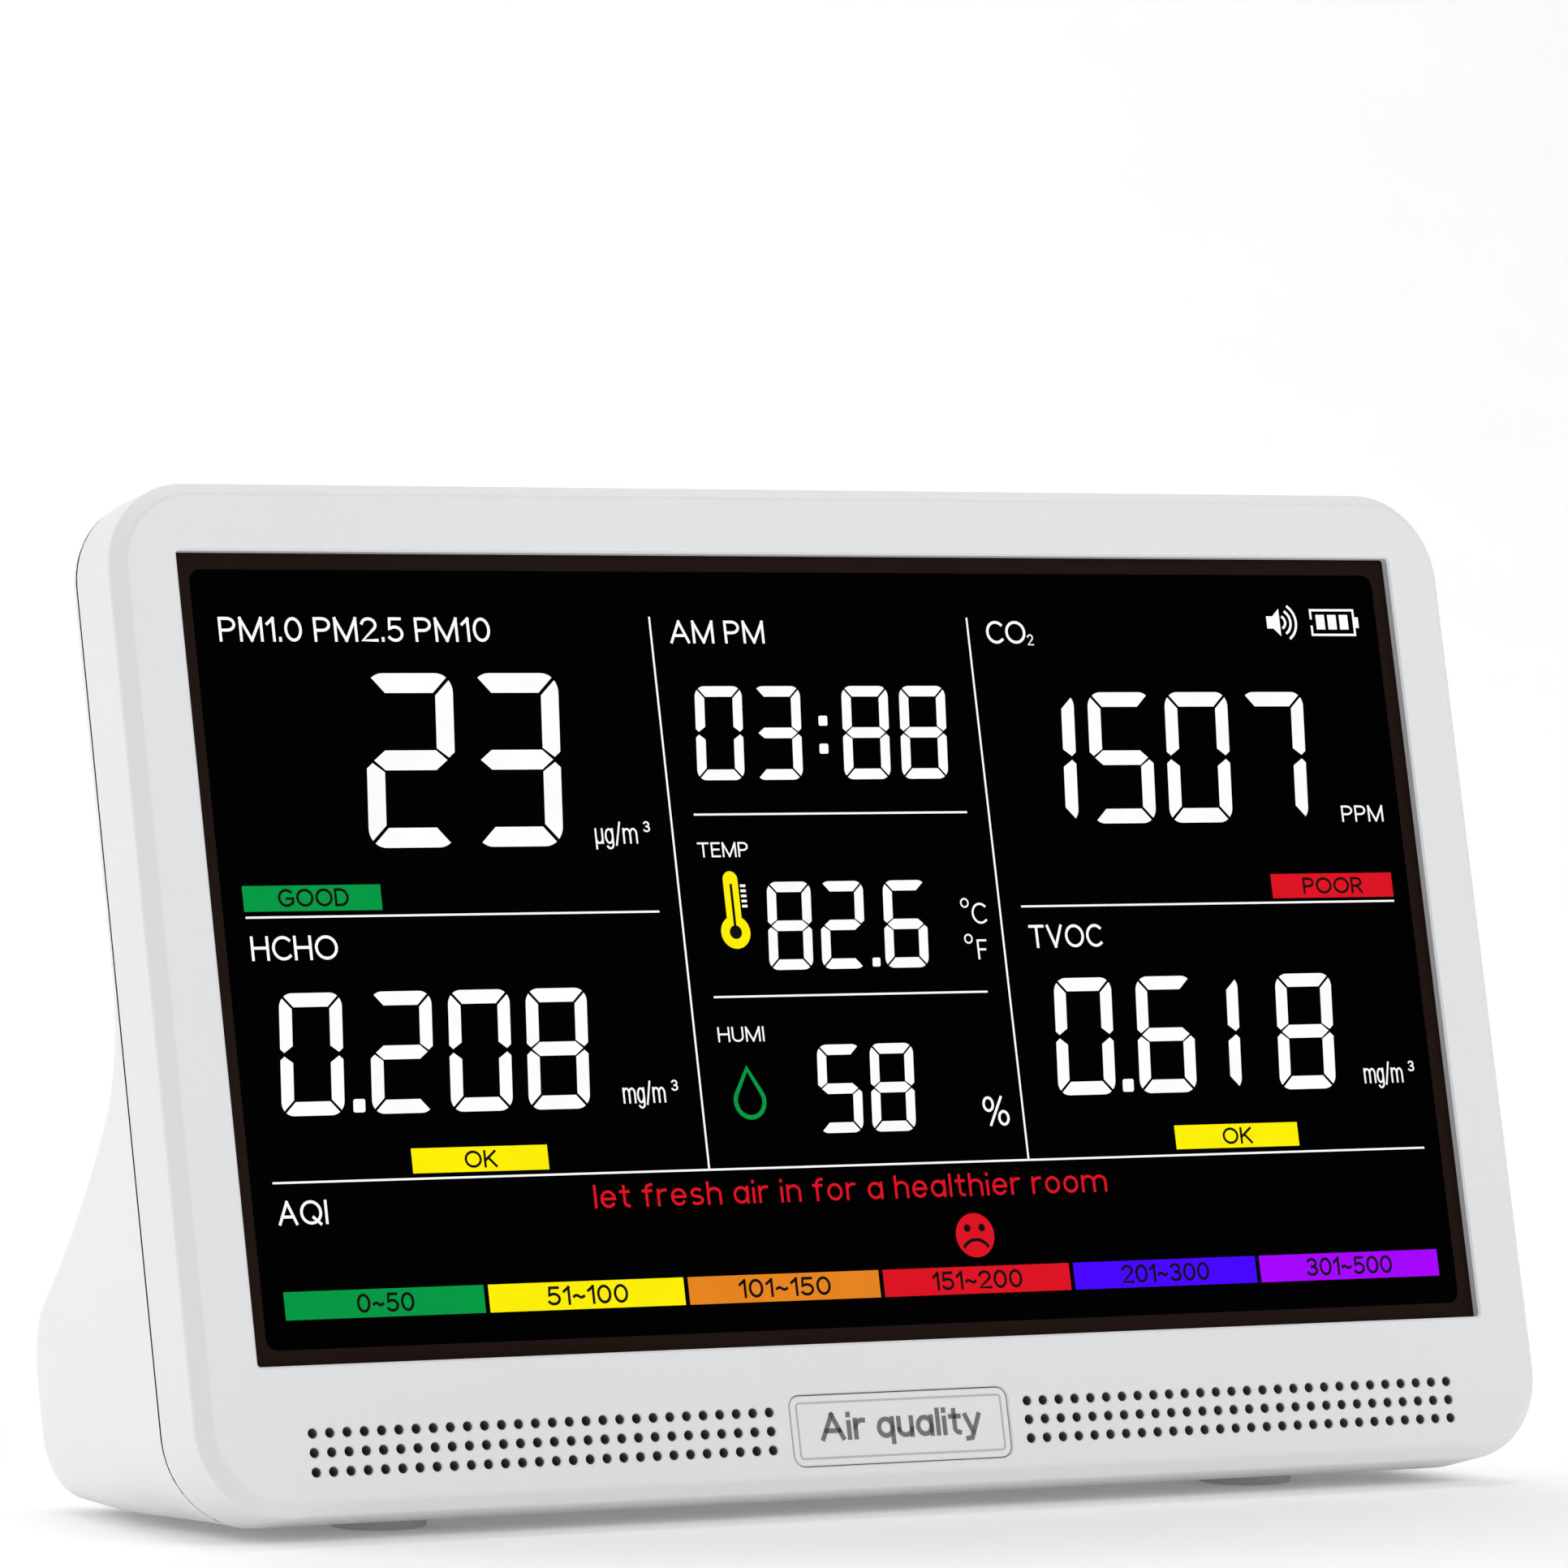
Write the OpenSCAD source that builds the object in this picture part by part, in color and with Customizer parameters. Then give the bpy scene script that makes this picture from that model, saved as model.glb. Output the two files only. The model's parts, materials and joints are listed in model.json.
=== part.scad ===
// Air quality monitor: a desk instrument with a leaning display panel and a hollow foot.
// Panel coordinates are used throughout: X runs across the panel, Y runs back from its front face
// and Z runs up the panel. tilted() leans the finished pieces back onto their feet.

/* [Case] */
// Width of the case across the front shell
case_w = 190; // [170:1:220]
// Height of the front face, measured up the panel
case_h = 124; // [118:1:140]
// Lean of the panel back from the vertical, in degrees
tilt = 12.6; // [8:0.2:16]
// Radius of the four corners of the panel
corner_r = 11; // [8:0.5:14]
// Depth of the front shell, from the front face to the seam
seam = 10.4; // [10:0.1:12]
// Depth of the thin upper part of the case
upper_depth = 15; // [14.6:0.1:18]
// Thickness of the case walls
wall = 2.2; // [1.8:0.1:2.4]
// Thickness of the front face around the display
face_t = 2.6; // [2.4:0.1:3]
// How far the front chamfer cuts into the face
chamfer_in = 1.6; // [0.8:0.1:2.2]
// How far the front chamfer runs down the sides
chamfer_deep = 1.8; // [0.8:0.1:2.4]

/* [Foot] */
// Height up the panel at which the back starts to sweep out into the foot
sweep_top = 67; // [64:0.5:72]
// Radius of the tight first part of the sweep
sweep_r = 18; // [16:0.5:20]
// Radius of the long second part of the sweep
ramp_r = 152; // [140:1:160]
// Radius of the rounded shoulder of the foot
shoulder_r = 11.3; // [10:0.1:13]
// Radius under the rear of the foot
heel_r = 8; // [6:0.5:9]
// Narrowing of each side per millimetre of depth behind the seam
side_taper = 0.169; // [0.1:0.01:0.19]
// Radius along the top rear edge
top_r = 5; // [3:0.5:6]
// Diameter of a foot pad
foot_d = 11.6; // [8:0.2:14]
// How far a foot pad stands proud of the underside
foot_proud = 1.5; // [1:0.1:2.5]

/* [Display] */
// Width of the display opening
opening_w = 173.3; // [160:0.1:174]
// Height of the display opening
opening_h = 97.7; // [90:0.1:98]
// Height of the lower edge of the opening up the panel
opening_v = 17.7; // [17:0.1:18.5]
// Depth of the window below the front face
window_sink = 1.3; // [0.8:0.1:1.4]

/* [Grilles] */
// Diameter of a hole in the front grille
grille_d = 1.2; // [0.8:0.1:1.5]
// Spacing of the holes in the front grille
grille_pitch = 2.3; // [2.1:0.1:2.3]
// Length of a slot in the rear vents
slot_w = 2.8; // [2:0.1:3]
// Height of a slot in the rear vents
slot_h = 1.1; // [0.8:0.1:1.3]

/* [Controls] */
// Travel of a push button
button_travel = 0.6; // [0.3:0.1:0.6]
// Clearance around a push button in its opening
button_gap = 0.2; // [0.15:0.01:0.3]
// Travel of the battery switch
switch_travel = 1.2; // [0.8:0.1:1.2]

/* [Hidden] */

cut = 1;                       // overshoot of every cutting shape
round_fn = 48;                 // facets of a previewed circle
shell_color = [0.90, 0.905, 0.91];
board_color = [0.05, 0.30, 0.16];
part_color = [0.10, 0.10, 0.11];
metal_color = [0.75, 0.76, 0.77];

// side profile of the case, as arcs in the plane of depth and height
sweep_turn = 55;               // angle turned by the tight sweep
ramp_turn = 68;                // angle reached at the end of the ramp
sweep_c = [upper_depth + sweep_r, sweep_top];
ramp_c = sweep_c + (sweep_r - ramp_r) * inward(sweep_turn);
shoulder_c = ramp_c + (ramp_r + shoulder_r) * inward(ramp_turn);
foot_depth = shoulder_c[0] + shoulder_r;
heel_c = [foot_depth - heel_r, (foot_depth - heel_r - seam) * tan(tilt) + heel_r / cos(tilt)];

// placing the leaning case so that it stands on the ground plane, centred on the origin
front_y = chamfer_in * sin(tilt);
rear_y = shoulder_c[1] * sin(tilt) + shoulder_c[0] * cos(tilt) + shoulder_r;
stand_y = -(front_y + rear_y) / 2;
stand_z = seam * sin(tilt) + foot_proud;

side_lean = atan(side_taper);

// screws that hold the rear shell on, in the two top corners
screw_x = 89.6;
screw_v = 117.3;
boss_r = 3.2;
screw_r = 1.1;
thread_gap = 0.02;
screw_head_r = 1.75;
screw_floor = seam + 1.6;

// push buttons in their pill-shaped recess
pill_x = 57.7;
pill_v = 114.2;
pill_w = 54.4;
pill_h = 12.4;
pill_sink = 0.9;
button_pitch = 13.3;
button_w = 12.3;
button_h = 8.6;
button_r = 4.2;
slit_w = 43;
slit_h = 0.7;
slit_v = 5.75;
flange_t = 0.6;
flange_lap = 0.45;
flange_y = upper_depth - wall - 0.15 - flange_t;

// vents
vent_pitch = 4.5;
vent_row = 2.376;
vent_top = 98.6;
vent_rows = 19;
vent_cols = 29;
vent_stagger = 0.9;
vent_gap_row = 8;              // first row that the label pocket interrupts
lower_pitch = 4.48;
lower_row = 2.46;
lower_top = 28.7;
lower_rows = 7;
lower_cols = 29;
lower_x = 2;

// label pocket under the upper vents
label_x = -1.35;
label_w = 33;
label_top = 79.9;
label_sink = 0.9;
label_fade = 34;               // angle along the sweep at which the pocket runs out

// sockets in the rear wall of the foot
usb_x = -71.5;
switch_x = 73;
socket_v = 19;
usb_w = 8.94;
usb_h = 3.2;
usb_l = 7.3;
usb_t = 0.3;
usb_floor = 0.9;
usb_end = foot_depth - 0.9;
tongue_w = 6.7;
tongue_t = 0.7;
switch_open = 4.9;
switch_bevel = 6.6;
switch_case_w = 6.4;
switch_case_l = 6.5;
switch_nose_w = 4.7;
switch_nose_l = 1.3;
switch_bore = 3.6;
switch_rear = foot_depth - wall - 0.4;
switch_floor = switch_rear - 5;
plunger_w = 3.3;
plunger_end = foot_depth - 0.3;

// blanking cover in the side wall
cover_w = 16;
cover_h = 6.7;
cover_t = 0.9;
cover_y = 46;
cover_v = 23.7;
cover_gap = 0.1;

// badge between the two halves of the front grille
badge_w = 31;
badge_h = 8.8;
badge_r = 1.5;
badge_v = 7.2;
badge_t = 1.2;

// front grille
grille_cols = 28;
grille_rows = 3;
grille_x = 18.3;
grille_v = 5.05;

// feet
foot_x = 62;
foot_front_y = 20;
foot_rear_y = 50;
foot_sink = 0.8;

// display stack, each depth measured from the front face
window_t = 1.2;
window_lap = 1.4;
lcd_y = 2.7;
lcd_t = 1.9;
backlight_y = 4.7;
backlight_t = 2.4;
bracket_y = 7.2;
bracket_t = 0.7;
lcd_w = 171;
lcd_h = 97;
lcd_v = opening_v + (opening_h - lcd_h) / 2;

// boards
main_y = 9;
main_t = 1.2;
main_x0 = -80;
main_x1 = 22;
main_v0 = 42;
main_v1 = 104;
button_board_y = 8.1;
button_board_t = 1;
tact_w = 4.4;
tact_h = 1.4;
tact_knob_r = 1.1;

// particle sensor
ps_x0 = 12;
ps_x1 = 60;
ps_y0 = 16;
ps_y1 = 53;
ps_v0 = 12.6;
ps_v1 = 30;
ps_wall = 1.2;
ps_lid = 1.4;
fan_x = 24;
fan_y = 34;
fan_r = 9.5;
fan_h = 8;
fan_blades = 11;
axle_r = 0.8;
axle_gap = 0.05;

// small sensors and the sounder
co2_x0 = -66;
co2_x1 = -33;
co2_slot_w = 3;
co2_slots = [-60, -54, -48, -42];
gas_x = -12;
gas_v = 22;
gas_r = 9;
humidity_x0 = -84;
humidity_x1 = -72;
humidity_y = 16;
sounder_x = 68;
sounder_v = 9.4;
sounder_r = 6.2;

// battery
cell_r = 9.15;
cell_l = 65;
cell_x = -26;
cell_y = 38;
cell_v = 21.2;

function inward(a) = -spoke(a);
function spoke(a) = [cos(a), sin(a)];
function arc(c, r, a0, a1, n) = [for (i = [0:n]) c + r * spoke(a0 + (a1 - a0) * i / n)];
function underside(y) = (y - seam) * tan(tilt);

// outline of the side of the case, moved in by a wall thickness
function side_outline(inset) = concat(
  [[0, inset], [seam, inset]],
  arc(heel_c, heel_r - inset, tilt - 90, 0, 8),
  arc(shoulder_c, shoulder_r - inset, 0, ramp_turn, 8),
  arc(ramp_c, ramp_r + inset, 180 + ramp_turn, 180 + sweep_turn, 3),
  arc(sweep_c, sweep_r + inset, 180 + sweep_turn, 180, 8),
  arc([upper_depth - top_r, case_h - top_r], top_r - inset, 0, 90, 6),
  [[0, case_h - inset]]
);

// outline of the case seen from above: straight to the seam, then narrowing
function plan_outline(inset) = [
  [-case_w / 2 + inset, -cut],
  [case_w / 2 - inset, -cut],
  [case_w / 2 - inset, seam],
  [case_w / 2 - inset - side_taper * (foot_depth + cut - seam), foot_depth + cut],
  [-case_w / 2 + inset + side_taper * (foot_depth + cut - seam), foot_depth + cut],
  [-case_w / 2 + inset, seam]
];

module tilted() {
  translate([0, stand_y, stand_z])
    rotate([-tilt, 0, 0])
      children();
}

// extrudes an outline drawn on the face of the panel from depth y0 to depth y1
module through(y0, y1) {
  translate([0, y1, 0])
    rotate([90, 0, 0])
      linear_extrude(y1 - y0)
        children();
}

// extrudes an outline drawn in depth and height across the panel
module across(x0, x1) {
  translate([x0, 0, 0])
    rotate([90, 0, 90])
      linear_extrude(x1 - x0)
        children();
}

// a round bar that runs straight back from the panel
module rod(x, v, r, y0, y1) {
  translate([x, y0, v])
    rotate([-90, 0, 0])
      cylinder(r = r, h = y1 - y0, $fn = round_fn);
}

// a block given by its two corners in panel coordinates
module block(x0, x1, y0, y1, v0, v1) {
  translate([x0, y0, v0])
    cube([x1 - x0, y1 - y0, v1 - v0]);
}

module rounded(w, h, r) {
  square([w - 2 * r, h], center = true);
  square([w, h - 2 * r], center = true);
  for (sx = [-1, 1]) {
    for (sy = [-1, 1]) {
      translate([sx * (w / 2 - r), sy * (h / 2 - r)])
        circle(r = r, $fn = round_fn);
    }
  }
}

module face_outline(inset) {
  translate([0, case_h / 2])
    rounded(case_w - 2 * inset, case_h - 2 * inset, corner_r - inset);
}

// the whole outer form of the case, moved in by a wall thickness
module envelope(inset, y0, y1) {
  intersection() {
    across(-case_w, case_w)
      polygon(side_outline(inset));
    translate([0, 0, -cut])
      linear_extrude(case_h + 2 * cut)
        polygon(plan_outline(inset));
    through(y0, y1)
      face_outline(inset);
  }
}

// the chamfered front of the case: cones at the corners with wedges between them
module chamfered_face() {
  span_x = case_w / 2 - corner_r;
  for (x = [-span_x, span_x]) {
    for (v = [corner_r, case_h - corner_r]) {
      translate([x, 0, v])
        rotate([-90, 0, 0])
          cylinder(r1 = corner_r - chamfer_in, r2 = corner_r, h = chamfer_deep, $fn = round_fn);
    }
  }
  across(-span_x, span_x)
    polygon([[0, chamfer_in], [chamfer_deep, 0], [chamfer_deep, case_h], [0, case_h - chamfer_in]]);
  translate([0, 0, corner_r])
    linear_extrude(case_h - 2 * corner_r)
      polygon([
        [chamfer_in - case_w / 2, 0],
        [case_w / 2 - chamfer_in, 0],
        [case_w / 2, chamfer_deep],
        [-case_w / 2, chamfer_deep]
      ]);
}

module grille_holes() {
  for (side = [-1, 1]) {
    for (c = [0:grille_cols - 1]) {
      for (r = [0:grille_rows - 1]) {
        translate([side * (grille_x + c * grille_pitch), grille_v + r * grille_pitch])
          circle(d = grille_d, $fn = 16);
      }
    }
  }
}

module front_shell() {
  color(shell_color)
    difference() {
      union() {
        difference() {
          union() {
            chamfered_face();
            through(chamfer_deep, seam)
              face_outline(0);
          }
          through(face_t, seam + cut)
            face_outline(wall);
        }
        intersection() {
          union() {
            for (x = [-screw_x, screw_x]) {
              rod(x, screw_v, boss_r, face_t - 0.2, seam);
            }
          }
          through(0, seam)
            face_outline(wall / 2);
        }
      }
      translate([0, 0, opening_v])
        block(-opening_w / 2, opening_w / 2, -cut, seam, 0, opening_h);
      translate([0, 0, opening_v])
        block(-opening_w / 2 - window_lap, opening_w / 2 + window_lap, window_sink, face_t + 0.001,
              -window_lap, opening_h + window_lap);
      for (x = [-screw_x, screw_x]) {
        rod(x, screw_v, screw_r + thread_gap, 4, seam + cut);
      }
      through(-cut, badge_t)
        translate([0, badge_v])
          rounded(badge_w, badge_h, badge_r);
      through(-cut, face_t + cut)
        grille_holes();
    }
}

function vent_shown(r, c) =
  let (dense = r > 0 && r % 2 == 0 && r < 18)
  let (phase = r == 0 || r % 4 == 1 || r == 18 ? 1 : 0)
  let (kept = dense || c % 2 == phase)
  kept && (r < vent_gap_row || c < 11 || c > 18);

module upper_slots() {
  for (r = [0:vent_rows - 1]) {
    for (c = [0:vent_cols - 1]) {
      if (vent_shown(r, c)) {
        translate([
          -vent_pitch * (c - (vent_cols - 1) / 2) + (r % 2 == 0 ? vent_stagger : -vent_stagger),
          vent_top - r * vent_row
        ])
          square([slot_w, slot_h], center = true);
      }
    }
  }
}

module lower_slots() {
  for (r = [0:lower_rows - 1]) {
    cols = lower_cols + r % 2;
    for (c = [0:cols - 1]) {
      translate([lower_x + lower_pitch * (c - (cols - 1) / 2), lower_top - r * lower_row])
        square([slot_w, slot_h], center = true);
    }
  }
}

// outline of one button: the two end buttons follow the round ends of the recess
module button_outline(i, grow) {
  w = button_w + 2 * grow;
  h = button_h + 2 * grow;
  if (i == 0 || i == 3) {
    side = i == 0 ? 1 : -1;
    r = button_r + grow;
    translate([-side * r / 2, 0])
      square([w - r, h], center = true);
    translate([side * (w / 2 - r), 0])
      intersection() {
        rounded(2 * r, h, r - 0.01);
        translate([side * r, 0])
          square([2 * r, h + cut], center = true);
      }
  } else {
    square([w, h], center = true);
  }
}

function button_x(i) = pill_x + button_pitch * (1.5 - i);

module label_cut() {
  across(label_x - label_w / 2, label_x + label_w / 2)
    polygon(concat(
      [[upper_depth + cut, label_top], [upper_depth - label_sink, label_top]],
      [for (a = [0:4:label_fade]) sweep_c + (sweep_r + label_sink * (1 - a / label_fade)) * inward(a)],
      [[upper_depth + sweep_r, sweep_top - sweep_r * sin(label_fade)]]
    ));
}

module on_side_wall(y, v) {
  translate([case_w / 2 - side_taper * (y - seam), y, v])
    rotate([0, 0, side_lean])
      children();
}

module foot_at(x, y) {
  translate([x, y, underside(y)])
    rotate([tilt, 0, 0])
      children();
}

module each_foot() {
  for (x = [-foot_x, foot_x]) {
    foot_at(x, foot_front_y)
      children();
    foot_at(x, foot_rear_y)
      children();
  }
}

module rear_shell() {
  color(shell_color)
    difference() {
      union() {
        difference() {
          envelope(0, seam, foot_depth + cut);
          envelope(wall, 0, foot_depth);
        }
        difference() {
          through(seam - 1.4, seam + 1)
            difference() {
              face_outline(wall + 0.1);
              face_outline(wall + 1.1);
            }
          for (x = [-screw_x, screw_x]) {
            rod(x, screw_v, boss_r + 0.3, 0, seam);
          }
        }
        intersection() {
          union() {
            for (x = [-screw_x, screw_x]) {
              rod(x, screw_v, boss_r, seam, upper_depth);
            }
            each_foot()
              cylinder(d = foot_d + 3, h = foot_sink + 1.6, $fn = round_fn);
          }
          envelope(wall / 2, seam, foot_depth);
        }
      }
      for (x = [-screw_x, screw_x]) {
        rod(x, screw_v, screw_r + 0.15, 0, upper_depth);
        rod(x, screw_v, screw_head_r + 0.15, screw_floor, upper_depth + cut);
      }
      each_foot()
        translate([0, 0, -cut])
          cylinder(d = foot_d + 0.2, h = foot_sink + cut, $fn = round_fn);
      through(upper_depth - pill_sink, upper_depth + cut)
        translate([pill_x, pill_v])
          rounded(pill_w, pill_h, pill_h / 2 - 0.01);
      for (s = [-1, 1]) {
        translate([0, 0, pill_v + s * slit_v - slit_h / 2])
          block(pill_x - slit_w / 2, pill_x + slit_w / 2, seam, upper_depth, 0, slit_h);
      }
      for (i = [0:3]) {
        through(seam, upper_depth)
          translate([button_x(i), pill_v])
            button_outline(i, button_gap);
      }
      label_cut();
      through(seam, upper_depth + 6)
        upper_slots();
      through(foot_depth - 9, foot_depth + cut)
        lower_slots();
      through(foot_depth - wall - cut, foot_depth + cut)
        translate([usb_x, socket_v])
          rounded(usb_w + 0.3, usb_h + 0.3, usb_h / 2 + 0.14);
      through(foot_depth - wall - cut, foot_depth + cut)
        translate([switch_x, socket_v])
          square(switch_open, center = true);
      through(foot_depth - 1.1, foot_depth + cut)
        translate([switch_x, socket_v])
          rounded(switch_bevel, switch_bevel, 0.8);
      on_side_wall(cover_y, cover_v)
        translate([-cover_t, -cover_w / 2, -cover_h / 2])
          cube([cover_t + cut, cover_w, cover_h]);
    }
}

module display_window() {
  color([0.03, 0.03, 0.035])
    block(-opening_w / 2 - window_lap + 0.1, opening_w / 2 + window_lap - 0.1,
          window_sink, window_sink + window_t,
          opening_v - window_lap + 0.1, opening_v + opening_h + window_lap - 0.1);
}

module badge_plate() {
  color([0.86, 0.865, 0.87])
    through(0, badge_t)
      translate([0, badge_v])
        rounded(badge_w - 0.1, badge_h - 0.1, badge_r);
}

module side_cover() {
  color([0.88, 0.885, 0.89])
    on_side_wall(cover_y, cover_v)
      translate([-cover_t, cover_gap - cover_w / 2, cover_gap - cover_h / 2])
        cube([cover_t, cover_w - 2 * cover_gap, cover_h - 2 * cover_gap]);
}

module feet() {
  color([0.62, 0.63, 0.64])
    each_foot()
      translate([0, 0, -foot_proud])
        cylinder(d = foot_d, h = foot_proud + foot_sink, $fn = round_fn);
}

module case_screws() {
  color(part_color)
    for (x = [-screw_x, screw_x]) {
      rod(x, screw_v, screw_r, 4.6, screw_floor + 0.1);
      difference() {
        rod(x, screw_v, screw_head_r, screw_floor, screw_floor + 1.3);
        for (turn = [0, 90]) {
          translate([x, screw_floor + 1.3, screw_v])
            rotate([0, turn, 0])
              cube([2, 1.4, 0.45], center = true);
        }
      }
    }
}

// a push button: a cap with a retaining flange behind the wall, over its switch
module push_button(i) {
  color([0.86, 0.865, 0.87])
    union() {
      through(flange_y, upper_depth + 0.1)
        translate([button_x(i), pill_v])
          button_outline(i, 0);
      block(button_x(i) - button_w / 2 + 1, button_x(i) + button_w / 2 - 1,
            flange_y, flange_y + flange_t,
            pill_v - button_h / 2 - flange_lap, pill_v + button_h / 2 + flange_lap);
    }
}

module power_button() {
  push_button(0);
}

module volume_button() {
  push_button(1);
}

module brightness_button() {
  push_button(2);
}

module clock_button() {
  push_button(3);
}

module button_board() {
  color(board_color)
    block(pill_x - 26, pill_x + 26, button_board_y, button_board_y + button_board_t,
          pill_v - 4.5, pill_v + 4.5);
}

module tact_switches() {
  y0 = button_board_y + button_board_t;
  color(part_color)
    for (i = [0:3]) {
      block(button_x(i) - tact_w / 2, button_x(i) + tact_w / 2, y0, y0 + tact_h,
            pill_v - tact_w / 2, pill_v + tact_w / 2);
      rod(button_x(i), pill_v, tact_knob_r, y0 + tact_h - 0.1, flange_y - button_travel - 0.05);
    }
}

module lcd_panel() {
  color([0.15, 0.16, 0.18])
    block(-lcd_w / 2, lcd_w / 2, lcd_y, lcd_y + lcd_t, lcd_v, lcd_v + lcd_h);
}

module backlight() {
  color([0.93, 0.93, 0.90])
    difference() {
      block(-lcd_w / 2, lcd_w / 2, backlight_y, backlight_y + backlight_t, lcd_v, lcd_v + lcd_h);
      block(-lcd_w / 2 + 3, lcd_w / 2 - 3, backlight_y - cut, backlight_y + 0.4,
            lcd_v + 3, lcd_v + lcd_h - 3);
    }
}

module bracket_points() {
  for (x = [-81.5, 81.5]) {
    for (v = [24, 104]) {
      translate([x, 0, v])
        children();
    }
  }
}

module lcd_bracket() {
  color(metal_color)
    difference() {
      block(-lcd_w / 2, lcd_w / 2, bracket_y, bracket_y + bracket_t, lcd_v + 1, lcd_v + lcd_h - 1);
      for (x = [-50, 0, 50]) {
        block(x - 19, x + 19, bracket_y - cut, bracket_y + bracket_t + cut, 30, 62);
      }
      bracket_points()
        rod(0, 0, 1.15, bracket_y - cut, bracket_y + bracket_t + cut);
    }
}

module bracket_screws() {
  color(metal_color)
    bracket_points() {
      rod(0, 0, 1, bracket_y, bracket_y + bracket_t + 0.1);
      rod(0, 0, 1.9, bracket_y + bracket_t, bracket_y + bracket_t + 1);
    }
}

module flex_cable() {
  color([0.75, 0.45, 0.12])
    across(-18, 6)
      polygon([
        [bracket_y + 0.8, 34],
        [bracket_y + 1, 34],
        [bracket_y + 1.2, 38],
        [main_y - 0.1, 44],
        [main_y - 0.1, 50],
        [main_y - 0.3, 50],
        [main_y - 0.3, 44],
        [bracket_y + 1, 38.2]
      ]);
}

module board_points() {
  for (x = [main_x0 + 4, main_x1 - 4]) {
    for (v = [main_v0 + 4, main_v1 - 4]) {
      translate([x, 0, v])
        children();
    }
  }
}

module main_board() {
  color(board_color)
    difference() {
      block(main_x0, main_x1, main_y, main_y + main_t, main_v0, main_v1);
      board_points()
        rod(0, 0, 1.3, main_y - cut, main_y + main_t + cut);
    }
}

module main_chips() {
  top = main_y + main_t;
  color(part_color) {
    block(-40, -28, top, top + 1.2, 70, 82);
    block(-66, -48, top, top + 2.2, 74, 98);
    block(-20, -10, top, top + 1, 60, 66);
    block(0, 12, top, top + 1.8, 76, 88);
    block(-60, -50, top, top + 2.2, 50, 58);
    block(-30, -6, top, top + 2.2, 90, 96);
  }
}

module board_screws() {
  color(metal_color)
    board_points() {
      rod(0, 0, 1.1, bracket_y + bracket_t, main_y + main_t + 0.1);
      rod(0, 0, 2, main_y + main_t, main_y + main_t + 1);
    }
}

module battery_cell() {
  color([0.15, 0.35, 0.70])
    translate([cell_x, cell_y, cell_v])
      rotate([0, 90, 0]) {
        cylinder(r = cell_r, h = cell_l, center = true, $fn = round_fn);
        translate([0, 0, cell_l / 2])
          cylinder(r = 3, h = 1.2, $fn = round_fn);
      }
}

module battery_cradle() {
  x0 = cell_x - cell_l / 2 - 3;
  x1 = cell_x + cell_l / 2 + 3;
  color(part_color)
    difference() {
      block(x0, x1, cell_y - cell_r - 1.6, cell_y + cell_r + 1.6, cell_v - cell_r - 0.9, cell_v);
      translate([cell_x, cell_y, cell_v])
        rotate([0, 90, 0])
          cylinder(r = cell_r + 0.1, h = cell_l + 3, center = true, $fn = round_fn);
    }
}

module battery_lead() {
  x = cell_x + cell_l / 2 + 2;
  color([0.80, 0.10, 0.10])
    for (dx = [0, -1.6]) {
      translate([x + dx, cell_y - cell_r - 1.8, cell_v - 2]) {
        rotate([90, 0, 0])
          cylinder(r = 0.6, h = 12, $fn = 24);
        translate([0, -12, 0])
          sphere(r = 0.6, $fn = 24);
        translate([0, -12, 0])
          cylinder(r = 0.6, h = 26, $fn = 24);
      }
    }
}

module particle_sensor_tray() {
  color(metal_color)
    difference() {
      block(ps_x0, ps_x1, ps_y0, ps_y1, ps_v0, ps_v1 - ps_lid);
      block(ps_x0 + ps_wall, ps_x1 - ps_wall, ps_y0 + ps_wall, ps_y1 - ps_wall,
            ps_v0 + ps_wall, ps_v1);
      block(ps_x1 - 14, ps_x1 - 5, ps_y1 - 3, ps_y1 + cut, ps_v0 + 4, ps_v1 - 4);
      block(fan_x - 6, fan_x + 6, ps_y1 - 3, ps_y1 + cut, ps_v0 + 4, ps_v1 - 4);
      translate([fan_x, fan_y, ps_v0 - cut])
        cylinder(r = axle_r, h = 10, $fn = round_fn);
    }
}

module particle_sensor_lid() {
  color([0.80, 0.81, 0.82])
    block(ps_x0, ps_x1, ps_y0, ps_y1, ps_v1 - ps_lid, ps_v1);
}

module sensor_fan_axle() {
  color(metal_color)
    translate([fan_x, fan_y, ps_v0])
      cylinder(r = axle_r, h = ps_wall + fan_h + 2, $fn = round_fn);
}

module sensor_fan_rotor() {
  v0 = ps_v0 + ps_wall + 1;
  color([0.2, 0.2, 0.21])
    translate([fan_x, fan_y, v0])
      difference() {
        union() {
          cylinder(r = 3.2, h = fan_h, $fn = round_fn);
          cylinder(r = fan_r, h = 1, $fn = round_fn);
          for (i = [0:fan_blades - 1]) {
            rotate([0, 0, i * 360 / fan_blades])
              translate([fan_r - 3.6, -0.35, 0])
                cube([3.4, 0.7, fan_h]);
          }
        }
        translate([0, 0, -cut])
          cylinder(r = axle_r + axle_gap, h = fan_h + 2 * cut, $fn = round_fn);
      }
}

module co2_sensor() {
  color([0.80, 0.70, 0.35])
    difference() {
      block(co2_x0, co2_x1, 14, 26, 12, 32);
      for (x = co2_slots) {
        block(x, x + co2_slot_w, 25, 26 + cut, 16, 28);
      }
    }
}

module formaldehyde_sensor() {
  color([0.85, 0.85, 0.82]) {
    rod(gas_x, gas_v, gas_r, 12, 20);
    rod(gas_x, gas_v, gas_r / 3, 20, 21.5);
  }
}

module temp_humidity_sensor() {
  color([0.90, 0.90, 0.92])
    difference() {
      block(humidity_x0, humidity_x1, 11.4, humidity_y, 8, 24);
      for (v = [10:3:19]) {
        block(humidity_x0 + 2, humidity_x1 - 2, humidity_y - 0.8, humidity_y + cut, v, v + 1.4);
      }
    }
}

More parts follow.
